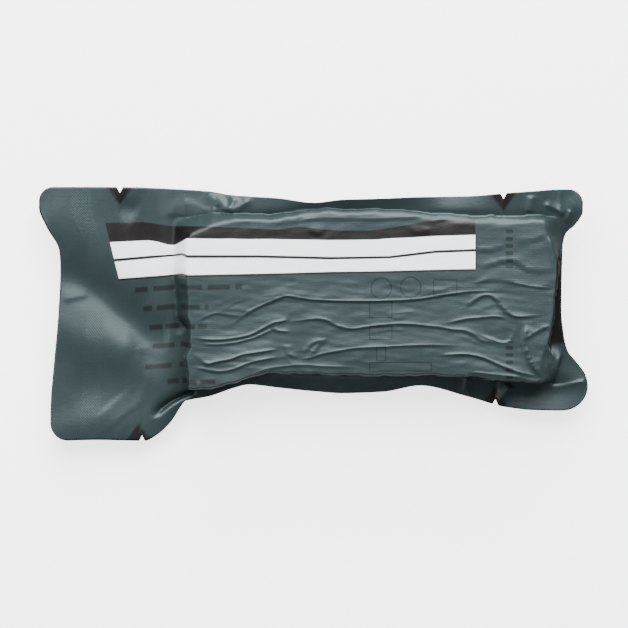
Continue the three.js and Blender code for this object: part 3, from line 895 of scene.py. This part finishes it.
@dataclass
class GridLines:
    """The columns and rows of a film's mesh."""

    flap_columns: int = 50
    end_columns: int = 10
    pocket_columns: int = 160
    ear_columns: int = 18
    seal_rows: int = 18
    wall_rows: int = 13
    wall_spread: float = 1.5
    top_wall: float = 7.0
    low_wall: float = 1.8
    flap_slope: float = 5.0
    flap_wall: float = 3.4
    ear_wall: float = 6.0
    label_rows: int = 20
    face_rows: int = 108
    label_foot: float = 0.42

    def stations(self, shape: PouchShape) -> np.ndarray:
        """Find the stations of the columns, with some set on the notches.

        Args:
            shape: The shape of the pouch.

        Returns:
            The station of each column.
        """
        slope = -self.flap_slope / shape.flap_length
        first = self.flap_wall / shape.length
        last = 1.0 - self.ear_wall / shape.length
        stations = np.concatenate([
            np.linspace(-1.0, slope, self.flap_columns, endpoint=False),
            np.linspace(slope, 0.0, self.end_columns // 2, endpoint=False),
            np.linspace(0.0, first, self.end_columns, endpoint=False),
            np.linspace(first, last, self.pocket_columns, endpoint=False),
            np.linspace(last, 1.0, self.end_columns, endpoint=False),
            np.linspace(1.0, 2.0, self.ear_columns + 1),
        ])
        for place, _ in NOTCHES:
            stretch = shape.flap_length if place < 0 else shape.length
            for step in (-0.5, 0.0, 0.5):
                cut = place + step * shape.notch_width / stretch
                stations[np.argmin(np.abs(stations - cut))] = cut
        return stations

    def rows(self, shape: PouchShape) -> np.ndarray:
        """Find the rows, closest together on the walls and on the low half of the face.

        Args:
            shape: The shape of the pouch.

        Returns:
            The place of each row, as in the plan.
        """
        top = 1.0 + self.top_wall / shape.width
        low = 2.0 - self.low_wall / shape.width
        middle = 1.0 + self.label_foot
        wall = np.linspace(0.0, 1.0, self.wall_rows, endpoint=False) ** self.wall_spread
        return np.concatenate([
            np.linspace(0.0, 1.0, self.seal_rows, endpoint=False),
            1.0 + wall * (top - 1.0),
            np.linspace(top, middle, self.label_rows, endpoint=False),
            np.linspace(middle, low, self.face_rows + 1),
            (2.0 - wall * (2.0 - low))[::-1],
            np.linspace(2.0, 3.0, self.seal_rows + 1)[1:],
        ])


@dataclass(frozen=True)
class Grain:
    """A cloudy pattern: its clouds to a metre, its finer layers and its stretch along each axis."""

    scale: float
    detail: float
    stretch: tuple[float, float, float] = (1.0, 1.0, 1.0)


@dataclass(frozen=True)
class Relief:
    """A low relief: its height in metres and how much of it shows."""

    height: float
    share: float


class Nodes:
    """Adds nodes to a material and links them."""

    def __init__(self, name: str) -> None:
        """Make a material with a Principled surface and nothing else.

        Args:
            name: The material's name.
        """
        self.material = bpy.data.materials.new(name)
        self.material.use_nodes = True
        self.tree = self.material.node_tree
        self.tree.nodes.clear()
        self.surface = self.tree.nodes.new("ShaderNodeBsdfPrincipled")
        output = self.tree.nodes.new("ShaderNodeOutputMaterial")
        self.tree.links.new(self.surface.outputs["BSDF"], output.inputs["Surface"])

    def fill(self, node: bpy.types.Node, values: dict[str | int, object]) -> None:
        """Fill the sockets of a node.

        Args:
            node: The node.
            values: For each socket, the socket that it is linked to or its plain value.
        """
        for name, value in values.items():
            if isinstance(value, Socket):
                self.tree.links.new(value, node.inputs[name])
            else:
                node.inputs[name].default_value = value

    def add(
        self, kind: str, values: dict[str | int, object], result: str | int, **settings: str,
    ) -> Socket:
        """Add a node.

        Args:
            kind: The kind of node.
            values: What its sockets are filled with.
            result: The name or number of the output that is read.
            settings: Its other settings.

        Returns:
            The output that is read.
        """
        node = self.tree.nodes.new(f"ShaderNode{kind}")
        for name, setting in settings.items():
            setattr(node, name, setting)
        self.fill(node, values)
        return node.outputs[result]

    def finish(self, values: dict[str | int, object]) -> bpy.types.Material:
        """Fill the sockets of the surface and return the material."""
        self.fill(self.surface, values)
        return self.material

    def math(
        self, operation: str, first: object, second: object = 0.0, third: object = 0.0,
    ) -> Socket:
        """Return the result of a sum of up to three values."""
        return self.add("Math", {0: first, 1: second, 2: third}, 0, operation=operation)

    def times(self, first: object, second: object) -> Socket:
        """Return the product of two values."""
        return self.math("MULTIPLY", first, second)

    def most(self, *values: object) -> Socket:
        """Return the highest of several values."""
        return reduce(lambda high, value: self.math("MAXIMUM", high, value), values)

    def wave(self, value: object, pace: float) -> Socket:
        """Return a wave that runs along a value at a pace."""
        return self.math("SINE", self.times(value, pace))

    def step(self, value: object, low: float, high: float) -> Socket:
        """Return 0 below low and 1 above high, with a smooth edge between."""
        ends = {"Value": value, "From Min": low, "From Max": high}
        return self.add("MapRange", ends, "Result", interpolation_type="SMOOTHSTEP")

    def band(self, value: object, low: float, high: float, soft: float) -> Socket:
        """Return 1 between low and high, and 0 outside them."""
        rise = self.step(value, low - soft, low + soft)
        return self.math("SUBTRACT", rise, self.step(value, high - soft, high + soft))

    def patch(self, first: object, first_span: Span, second: object, second_span: Span) -> Socket:
        """Return 1 where two values both lie in their spans, and 0 elsewhere."""
        return self.times(self.band(first, *first_span), self.band(second, *second_span))

    def blend(self, share: object, first: object, second: object) -> Socket:
        """Return a colour that lies the given share of the way from first to second."""
        return self.add("Mix", {"Factor": share, "A": first, "B": second}, "Result", data_type="RGBA")

    def map(self, name: str) -> list[Socket]:
        """Return the two numbers of a UV map of the piece."""
        pair = self.add("UVMap", {}, "UV", uv_map=name)
        return list(self.add("SeparateXYZ", {"Vector": pair}, "X").node.outputs)[:2]

    def noise(self, grain: Grain) -> Socket:
        """Lay a cloudy pattern over the piece.

        Args:
            grain: The pattern.

        Returns:
            Its value.
        """
        place = self.add("TexCoord", {}, "Object")
        place = self.add("Mapping", {"Vector": place, "Scale": grain.stretch}, "Vector")
        values = {"Vector": place, "Scale": grain.scale, "Detail": grain.detail}
        return self.add("TexNoise", values, "Fac")

    def bump(self, height: object, relief: Relief, normal: Socket | None = None) -> Socket:
        """Give the surface a low relief.

        Args:
            height: The pattern of the relief.
            relief: How high it is and how much of it shows.
            normal: The normal that it is laid over, where there is one.

        Returns:
            The new normal.
        """
        values = {"Height": height, "Distance": relief.height, "Strength": relief.share}
        if normal is not None:
            values["Normal"] = normal
        return self.add("Bump", values, "Normal")


@dataclass(frozen=True)
class PrintLayout:
    """The plain print of the front film, and a dark strip of painted shade on the end of the pocket at
    the ears.

    The label's length runs from 0 to 1, and its rows from 0 at the top of the header to 3 at the
    foot of the white bars and on below. The faint bars are measured in rows too, and the lines
    and their places in millimetres. Gaps are left where a wave between -1 and 1 runs low.
    """

    length: Span = (0.0, 1.0, 0.0006)
    right_side: Span = (1.0, 1.003, 0.0006)
    header: Span = (0.0, 1.0, 0.02)
    bars: Span = (1.0, 3.0, 0.03)
    divider: Span = (1.92, 2.08, 0.03)
    foot: Span = (3.0, 3.1, 0.03)
    # The strip of painted shade at the ear end: its span across the pocket in millimetres, and where it
    # starts past the face's end
    strip: Span = (17.0, 53.0, 1.0)
    end_shade_edge: tuple[float, float] = (-1.2, -0.9)
    bar_half: float = 0.13
    bar_soft: float = 0.06
    end_soft: float = 0.3
    gaps: tuple[float, float] = (-0.9, -0.7)
    ring_half: float = 0.25
    line: float = 0.4
    line_soft: float = 0.1
    dash_column: Span = (132.6, 135.4, 0.15)
    dash_pace: float = 2.1
    dash_gaps: tuple[float, float] = (-0.3, 0.1)

    def masks(self, nodes: Nodes) -> list[Socket]:
        """Lay out the print, and the dark strip of painted shade on the end of the pocket at the ears.

        Args:
            nodes: The material's nodes.

        Returns:
            Where the label is white, where the full print and the painted shade lie, and where the faint
            print lies.
        """
        along, row = nodes.map("label")
        length = nodes.band(along, *self.length)
        bars = nodes.band(row, *self.bars)
        divider = nodes.band(row, *self.divider)
        white = nodes.times(nodes.math("SUBTRACT", bars, divider), length)
        header = nodes.times(nodes.band(row, *self.header), length)
        rules = nodes.times(nodes.math("ADD", divider, nodes.band(row, *self.foot)), length)
        side = nodes.times(nodes.band(along, *self.right_side), bars)
        corner, past_end = nodes.map("edges")
        across = nodes.map("plan")[1]
        # Painted shade: the end of the pocket at the ears is darkened as a strip in the ink colour
        strip = nodes.times(nodes.step(past_end, *self.end_shade_edge), nodes.band(across, *self.strip))
        ink_and_painted_shade = nodes.most(header, rules, side, corner, strip)
        return [white, ink_and_painted_shade, self.faint_marks(nodes, row)]

    def faint_marks(self, nodes: Nodes, row: Socket) -> Socket:
        """Lay out the plain faint marks: broken bars on the flap, rings, boxes and dashes.

        Args:
            nodes: The material's nodes.
            row: The row of the print, counted down from the top of the header.

        Returns:
            Where the marks lie.
        """
        along, across = nodes.map("plan")
        marks = []
        for bar in FAINT_BARS:
            rows = (bar.row - self.bar_half, bar.row + self.bar_half, self.bar_soft)
            shape = nodes.patch(along, (bar.start, bar.end, self.end_soft), row, rows)
            marks.append(nodes.times(shape, nodes.step(nodes.wave(along, bar.pace), *self.gaps)))
        for middle_x, middle_y, radius in RINGS:
            x = nodes.math("POWER", nodes.math("SUBTRACT", along, middle_x), 2.0)
            y = nodes.math("POWER", nodes.math("SUBTRACT", across, middle_y), 2.0)
            away = nodes.math("SQRT", nodes.math("ADD", x, y))
            ring = (radius - self.ring_half, radius + self.ring_half, self.line_soft)
            marks.append(nodes.band(away, *ring))
        for left, right, top, foot in BOXES:
            outer, inner = [
                nodes.patch(along, (left + inset, right - inset, self.line_soft),
                            across, (top + inset, foot - inset, self.line_soft))
                for inset in (0.0, self.line)]
            marks.append(nodes.math("SUBTRACT", outer, inner))
        for start, end in DASHES:
            shape = nodes.patch(across, (start, end, self.end_soft), along, self.dash_column)
            dashes = nodes.step(nodes.wave(across, self.dash_pace), *self.dash_gaps)
            marks.append(nodes.times(shape, dashes))
        return nodes.most(*marks)


@dataclass(frozen=True)
class LaminateFinish:
    """Satin grey-green laminate, with or without print and a dark strip of painted shade at the ear end.
    """

    name: str
    layout: PrintLayout | None = None
    film: Colour = (0.023, 0.037, 0.039, 1.0)
    film_light: Colour = (0.033, 0.049, 0.051, 1.0)
    ink_and_painted_shade: Colour = (0.005, 0.004, 0.0045, 1.0)
    label: Colour = (0.93, 0.98, 1.0, 1.0)
    faint_ink: float = 0.62
    metallic: float = 0.35
    gloss: float = 0.3
    roughness: float = 0.38
    ink_matt: float = -0.02
    clouds: Grain = Grain(60.0, 3.0)
    cloud_edge: tuple[float, float] = (0.35, 0.65)
    cloud_share: float = 0.35
    mottle: Grain = Grain(140.0, 4.0)
    mottle_share: float = 0.1
    crumple: Grain = Grain(900.0, 3.0, (0.45, 1.0, 1.0))
    crumple_relief: Relief = Relief(0.00012, 0.35)
    weave_paces: tuple[float, float] = (9.4, 8.3)
    weave_length: Span = (4.0, 150.0, 3.0)
    weave_width: Span = (2.0, 62.0, 2.0)
    weave_patches: Grain = Grain(38.0, 1.0)
    weave_edge: tuple[float, float] = (0.42, 0.62)
    weave_relief: Relief = Relief(0.00005, 0.1)
    crimp_pace: float = 2.7
    crimp_band: Span = (13.3, 21.8, 0.4)
    crimp_relief: Relief = Relief(0.0001, 0.4)

    def build(self) -> bpy.types.Material:
        """Make the laminate's material.

        Returns:
            The finished material.
        """
        nodes = Nodes(self.name)
        cloud = nodes.times(nodes.step(nodes.noise(self.clouds), *self.cloud_edge), self.cloud_share)
        colour = nodes.blend(cloud, self.film, self.film_light)
        metallic = self.metallic
        rough = nodes.math("MULTIPLY_ADD", nodes.noise(self.mottle), self.mottle_share,
                           self.roughness - self.mottle_share / 2)
        normal = nodes.bump(nodes.noise(self.crumple), self.crumple_relief)
        if self.layout:
            white, ink_and_painted_shade, faint = self.layout.masks(nodes)
            colour = nodes.blend(nodes.times(faint, self.faint_ink), colour, self.ink_and_painted_shade)
            # The full ink mask also carries the painted shade of the pocket's end at the ears, laid in
            # the ink colour
            colour = nodes.blend(ink_and_painted_shade, colour, self.ink_and_painted_shade)
            colour = nodes.blend(white, colour, self.label)
            bare = nodes.math("SUBTRACT", 1.0, nodes.most(white, ink_and_painted_shade))
            metallic = nodes.times(bare, self.metallic)
            rough = nodes.math("ADD", rough, nodes.times(ink_and_painted_shade, self.ink_matt))
            normal = nodes.bump(self.weave(nodes), self.weave_relief, normal)
        normal = nodes.bump(self.crimp(nodes), self.crimp_relief, normal)
        return nodes.finish({
            "Base Color": colour, "Specular IOR Level": self.gloss, "Metallic": metallic,
            "Roughness": rough, "Normal": normal})

    def weave(self, nodes: Nodes) -> Socket:
        """Lay out the gauze weave that shows through the face in patches.

        Args:
            nodes: The material's nodes.

        Returns:
            The height of the weave.
        """
        along, across = nodes.map("plan")
        warp = nodes.wave(along, self.weave_paces[0])
        weft = nodes.wave(across, self.weave_paces[1])
        patches = nodes.step(nodes.noise(self.weave_patches), *self.weave_edge)
        face = nodes.patch(along, self.weave_length, across, self.weave_width)
        return nodes.times(nodes.math("ADD", warp, weft), nodes.times(patches, face))

    def crimp(self, nodes: Nodes) -> Socket:
        """Lay out the small diamonds of the crimped band across the flap.

        Args:
            nodes: The material's nodes.

        Returns:
            The height of the diamonds.
        """
        along, across = nodes.map("flap")
        grooves = [
            nodes.math("ABSOLUTE", nodes.wave(nodes.math(way, along, across), self.crimp_pace))
            for way in ("ADD", "SUBTRACT")]
        return nodes.times(nodes.math("MINIMUM", *grooves), nodes.band(along, *self.crimp_band))


@dataclass(frozen=True)
class GauzeFinish:
    """Woven off-white gauze."""

    name: str = "woven_gauze"
    thread: Colour = (0.80, 0.77, 0.68, 1.0)
    hollow: Colour = (0.46, 0.43, 0.36, 1.0)
    pace: float = 4.5
    clouds: Grain = Grain(400.0, 3.0)
    cloud_floor: float = 0.5
    relief: Relief = Relief(0.0003, 0.9)
    roughness: float = 0.92
    sheen: float = 0.3

    def build(self) -> bpy.types.Material:
        """Make the gauze's material.

        Returns:
            The finished material.
        """
        nodes = Nodes(self.name)
        weave = nodes.most(*[
            nodes.math("ABSOLUTE", nodes.wave(place, self.pace)) for place in nodes.map("strip")])
        cloud = nodes.math("ADD", nodes.noise(self.clouds), self.cloud_floor)
        threads = nodes.times(weave, cloud)
        return nodes.finish({
            "Base Color": nodes.blend(threads, self.hollow, self.thread), "Roughness": self.roughness,
            "Sheen Weight": self.sheen, "Normal": nodes.bump(threads, self.relief)})


@dataclass(frozen=True)
class FloorFinish:
    """Plain matt white floor."""

    name: str = "pale_floor"
    colour: Colour = (0.93, 0.93, 0.93, 1.0)
    roughness: float = 0.9
    glow: float = 2.6

    def build(self) -> bpy.types.Material:
        """Return the floor's material."""
        return Nodes(self.name).finish({
            "Base Color": self.colour, "Roughness": self.roughness, "Emission Color": self.colour,
            "Emission Strength": self.glow})


def deselect_all() -> None:
    """Deselect every object, so that an operator acts on the new piece alone."""
    if bpy.context.object and bpy.context.object.mode != "OBJECT":
        bpy.ops.object.mode_set(mode="OBJECT")
    bpy.ops.object.select_all(action="DESELECT")


def add_grid(name: str, columns: int, rows: int) -> tuple[bpy.types.Object, np.ndarray, np.ndarray]:
    """Add a flat grid and read where each of its points lies in it.

    Args:
        name: The name of the piece.
        columns: How many points it has along X.
        rows: How many points it has along Y.

    Returns:
        The grid, and the column and row of each of its points.
    """
    deselect_all()
    bpy.ops.mesh.primitive_grid_add(x_subdivisions=columns - 1, y_subdivisions=rows - 1, size=2.0)
    grid = bpy.context.object
    grid.name = name
    grid.data.name = name
    while grid.data.uv_layers:
        grid.data.uv_layers.remove(grid.data.uv_layers[0])
    places = np.empty(len(grid.data.vertices) * 3)
    grid.data.vertices.foreach_get("co", places)
    places = places.reshape(-1, 3)
    column = np.rint((places[:, 0] + 1) / 2 * (columns - 1)).astype(int)
    row = np.rint((places[:, 1] + 1) / 2 * (rows - 1)).astype(int)
    return grid, column, row


def turn_over() -> None:
    """Turn the faces of the new piece to its other side."""
    bpy.ops.object.mode_set(mode="EDIT")
    bpy.ops.mesh.select_all(action="SELECT")
    bpy.ops.mesh.flip_normals()
    bpy.ops.object.mode_set(mode="OBJECT")


def give_map(piece: bpy.types.Object, name: str, first: np.ndarray, second: np.ndarray) -> None:
    """Give a mesh a UV map.

    Args:
        piece: The piece.
        name: The name of the map.
        first: The first number at each point of the mesh.
        second: The second number at each point.
    """
    layer = piece.data.uv_layers.new(name=name, do_init=False)
    corners = np.empty(len(piece.data.loops), dtype=np.int32)
    piece.data.loops.foreach_get("vertex_index", corners)
    pairs = np.column_stack([first, second]).astype(np.float32)
    layer.uv.foreach_set("vector", pairs[corners].ravel())


def give_wall(piece: bpy.types.Object, thickness: float) -> None:
    """Give a sheet its thickness, inward from the side that it faces, and smooth its shading.

    Args:
        piece: The sheet.
        thickness: Its thickness in millimetres.
    """
    deselect_all()
    piece.select_set(True)
    bpy.context.view_layer.objects.active = piece
    wall = piece.modifiers.new("wall", "SOLIDIFY")
    wall.thickness = thickness * MM
    wall.offset = -1.0
    bpy.ops.object.modifier_apply(modifier=wall.name)
    bpy.ops.object.shade_smooth()


def hand_over(piece: bpy.types.Object, material: bpy.types.Material, node: str) -> None:
    """Dress a piece and put it in the place of its plain node.

    Args:
        piece: The piece.
        material: Its finished material.
        node: The plain node that it stands for.
    """
    piece.data.materials.clear()
    piece.data.materials.append(material)
    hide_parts(node)
    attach(piece, BODY)


@dataclass
class FilmPair:
    """The front film and the back film, sealed together round the roll."""

    shape: PouchShape = field(default_factory=PouchShape)
    lines: GridLines = field(default_factory=GridLines)
    thickness: float = 0.25
    apart: float = 0.72
    flat: tuple[float, float] = (0.235, 0.108)
    mark_half_width: float = 5.4
    mark_depth: float = 7.2
    mark_edge: float = 6.0
    label_left: float = -0.217
    label_slant: float = 0.102
    label_right: float = 0.7727
    small_print_row: float = 0.1232
    steepest: float = 4.5

    def origin(self) -> tuple[float, float]:
        """Return the middle of the roll's plan, in metres."""
        low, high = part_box("bandage_roll")
        return (low[0] + high[0]) / 2, (low[1] + high[1]) / 2

    def spots(self) -> Spots:
        """Return the points of the films' grid."""
        station, row = np.meshgrid(
            self.lines.stations(self.shape), self.lines.rows(self.shape), indexing="ij")
        return Spots(*self.shape.plan(station, row), station)

    def slant(self, at: Spots, height: np.ndarray) -> np.ndarray:
        """Find how much longer an upright measure is than a square one on the slope.

        Args:
            at: The points of the grid.
            height: Their heights.

        Returns:
            How many times longer it is at each point.
        """
        along_x, along_y, along_z = [np.gradient(item, axis=0) for item in (at.x, at.y, height)]
        across_x, across_y, across_z = [np.gradient(item, axis=1) for item in (at.x, at.y, height)]
        nx = along_y * across_z - along_z * across_y
        ny = along_z * across_x - along_x * across_z
        nz = along_x * across_y - along_y * across_x
        slope = np.sqrt(nx ** 2 + ny ** 2 + nz ** 2) / np.maximum(np.abs(nz), 1e-9)
        return np.clip(slope, 1.0, self.steepest)

    def lay(
        self, name: str, at: Spots, height: np.ndarray, face_down: bool,
    ) -> tuple[bpy.types.Object, np.ndarray, np.ndarray]:
        """Lay a grid on the points of a film.

        Args:
            name: The name of the piece.
            at: The points of the grid.
            height: Their heights.
            face_down: Whether the film faces the floor.

        Returns:
            The piece, and the column and row of each of its points.
        """
        film, column, row = add_grid(name, *height.shape)
        row = height.shape[1] - 1 - row
        shift_x, shift_y = self.origin()
        places = np.column_stack([
            at.x[column, row] * MM + shift_x, at.y[column, row] * MM + shift_y,
            height[column, row] * MM])
        film.data.vertices.foreach_set("co", places.ravel())
        if face_down:
            turn_over()
        film.data.update()
        return film, column, row

    def build(self, front: LaminateFinish, back: LaminateFinish) -> list[bpy.types.Object]:
        """Build and dress both films.

        Args:
            front: The finish of the front film.
            back: The finish of the back film.

        Returns:
            The two pieces.
        """
        at = self.spots()
        over = self.shape.front_height(at)
        seal = self.shape.seal_height(at)
        seal = seal + np.minimum(0.0, self.shape.fold_height(Layer.SKIN, at))
        under = seal - self.apart * self.slant(at, seal)
        under = mix(under, 0.0, self.shape.wall_share(BACK_WALLS, at))
        films = []
        for node, height, finish in (("front_film", over, front), ("back_film", under, back)):
            film, column, row = self.lay(f"{node}_skin", at, height, finish is back)
            self.map_print(film, column, row, at)
            give_wall(film, self.thickness)
            hand_over(film, finish.build(), node)
            films.append(film)
        return films

    def map_print(
        self, piece: bpy.types.Object, column: np.ndarray, row: np.ndarray, at: Spots,
    ) -> None:
        """Give a film the maps that its print, its painted shade at the ear end and its crimped band
        follow.

        Args:
            piece: The film.
            column: The column of each point of the mesh.
            row: The row of each point of the mesh.
            at: The points of the grid.
        """
        along = at.x / self.shape.length + 0.5
        across = 0.5 - at.y / self.shape.width
        lines = []
        for table in (HEADER_TOP, WHITE_TOP, DIVIDER, WHITE_FOOT):
            lines.append(np.interp(along, *np.array(table).T))
        label_row = 3.0 + (across - lines[3]) / self.small_print_row
        for i in (2, 1, 0):
            inside = i + (across - lines[i]) / (lines[i + 1] - lines[i])
            label_row = np.where(across < lines[i + 1], inside, label_row)
        left = self.label_left + self.label_slant * across
        label_along = (along - left) / (self.label_right - left)
        # How far past the face's end at the ears each point lies, for the strip of painted shade there
        past_end = at.x - self.shape.end_lines(at.y)[1]
        flap = np.minimum(0.0, at.station) * self.shape.flap_length + self.shape.flap_length
        maps = {
            "plan": (along * self.shape.length, across * self.shape.width),
            "label": (label_along, label_row),
            "edges": (self.notch_marks(at), past_end),
            "flap": (flap, at.y),
        }
        for name, (first, second) in maps.items():
            give_map(piece, name, first[column, row], second[column, row])

    def notch_marks(self, at: Spots) -> np.ndarray:
        """Find where the dark triangles at the tear notches lie.

        Args:
            at: The points of the grid.

        Returns:
            1 inside a triangle and 0 outside, at each point.
        """
        lines = self.shape.rails(at.station)
        triangle = np.zeros(at.x.shape)
        for place, edge in NOTCHES:
            middle = self.shape.station_x(np.float64(place))
            cut = self.shape.notch_cut(at.station, edge)
            inward = (lines[0] + cut - at.y) if edge is Edge.TOP else (at.y - lines[3] + cut)
            spread = 1.0 - np.abs(at.x - middle) / self.mark_half_width - inward / self.mark_depth
            triangle = np.maximum(triangle, np.clip(0.5 + spread * self.mark_edge, 0.0, 1.0))
        return triangle


@dataclass
class BandageRoll:
    """The flattened roll of gauze inside the pouch."""

    length: float = 150.0
    width: float = 62.5
    height: float = 25.6
    corner: float = 9.6
    least_corner: float = 0.3
    pitch: float = 1.55
    thickness: float = 1.1
    end_gap: float = 1.9
    corner_points: int = 6
    columns: int = 16

    def winding(self) -> np.ndarray:
        """Wind the section of the roll.

        Returns:
            Its points, from the outside in.
        """
        points = []
        turns = int((self.height / 2 - self.thickness) / self.pitch)
        for turn in range(turns):
            for corner, (wide, high) in enumerate(((1, 1), (-1, 1), (-1, -1), (1, -1))):
                for step in range(self.corner_points):
                    inset = self.pitch * (turn + (corner + step / self.corner_points) / 4)
                    half_wide = self.width / 2 - inset
                    half_high = self.height / 2 - inset
                    radius = min(max(self.corner - inset, self.least_corner), half_high)
                    angle = (corner + step / (self.corner_points - 1)) * math.pi / 2
                    points.append((
                        wide * (half_wide - radius) + radius * math.cos(angle),
                        high * (half_high - radius) + radius * math.sin(angle)))
        return np.array(points)

    def build(self, shape: PouchShape, finish: GauzeFinish) -> bpy.types.Object:
        """Build and dress the roll.

        Args:
            shape: The shape of the pocket that it lies in.
            finish: The finish of the gauze.

        Returns:
            The piece.
        """
        section = self.winding()
        runs = np.concatenate([[0.0], np.cumsum(np.hypot(*np.diff(section, axis=0).T))])
        low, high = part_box("bandage_roll")
        middle = [(low[i] + high[i]) / 2 for i in range(3)]
        roll, column, row = add_grid("gauze_roll", self.columns, len(section))
        flap_end, ear_end = shape.end_lines(section[row, 0])
        start = np.maximum(-self.length / 2, flap_end + self.end_gap)
        end = np.minimum(self.length / 2, ear_end - self.end_gap)
        along = mix(start, end, column / (self.columns - 1))
        places = np.column_stack([
            along * MM + middle[0], section[row, 0] * MM + middle[1],
            section[row, 1] * MM + middle[2]])
        roll.data.vertices.foreach_set("co", places.ravel())
        give_map(roll, "strip", runs[row], along)
        roll.data.update()
        if roll.data.polygons[0].normal.dot((0.0, section[0, 0], section[0, 1])) < 0.0:
            turn_over()
        give_wall(roll, self.thickness)
        hand_over(roll, finish.build(), "bandage_roll")
        return roll


@dataclass(frozen=True)
class SoftLight:
    """A soft light that looks at the pouch: its place and size in metres, its power in watts."""

    name: str
    place: tuple[float, float, float]
    wide: float
    high: float
    power: float

    def hang(self) -> None:
        """Hang the light."""
        lamp = bpy.data.lights.new(self.name, "AREA")
        lamp.shape = "RECTANGLE"
        lamp.size = self.wide
        lamp.size_y = self.high
        lamp.energy = self.power
        holder = bpy.data.objects.new(self.name, lamp)
        bpy.context.scene.collection.objects.link(holder)
        x, y, z = self.place
        holder.location = self.place
        holder.rotation_euler = (math.atan2(math.hypot(x, y), z), 0.0, math.atan2(-x, y) + math.pi)


@dataclass
class Studio:
    """Pale floor, soft light from above the top edge, and the camera straight overhead."""

    view_width: float = 0.2622
    camera_height: float = 2.0
    sensor: float = 36.0
    floor_size: float = 6.0
    world: float = 0.32
    lights: tuple[SoftLight, ...] = (
        SoftLight("key", (0.0, 1.05, 1.35), 1.6, 1.2, 90.0),
        SoftLight("graze", (0.1, 1.5, 0.6), 1.2, 0.35, 26.0),
        SoftLight("fill", (-1.2, 0.1, 1.0), 0.9, 0.9, 9.0),
    )

    def build(self) -> None:
        """Set up the floor, the lights and the camera."""
        deselect_all()
        bpy.ops.mesh.primitive_plane_add(size=self.floor_size, location=(0.0, 0.0, 0.0))
        floor = bpy.context.object
        floor.name = "floor"
        floor.data.materials.append(FloorFinish().build())
        floor.visible_glossy = False
        for light in self.lights:
            light.hang()
        world = bpy.data.worlds.new("studio")
        world.use_nodes = True
        background = world.node_tree.nodes["Background"]
        background.inputs["Color"].default_value = (1.0, 1.0, 1.0, 1.0)
        background.inputs["Strength"].default_value = self.world
        bpy.context.scene.world = world
        camera = bpy.data.objects.new("camera", bpy.data.cameras.new("camera"))
        bpy.context.scene.collection.objects.link(camera)
        camera.data.sensor_width = self.sensor
        camera.data.lens = self.sensor * self.camera_height / self.view_width
        camera.location = (0.0, 0.0, self.camera_height)
        bpy.context.scene.camera = camera


def main() -> None:
    """Build every piece in order and report it."""
    logging.basicConfig(level=logging.INFO, format="%(name)s: %(message)s")
    films = FilmPair()
    front, back = films.build(
        LaminateFinish("printed_laminate", PrintLayout()), LaminateFinish("plain_laminate"))
    roll = BandageRoll().build(films.shape, GauzeFinish())
    for piece in (front, back, roll):
        log.info("%s has %d faces", piece.name, len(piece.data.polygons))
    Studio().build()


if __name__ == "__main__":
    main()
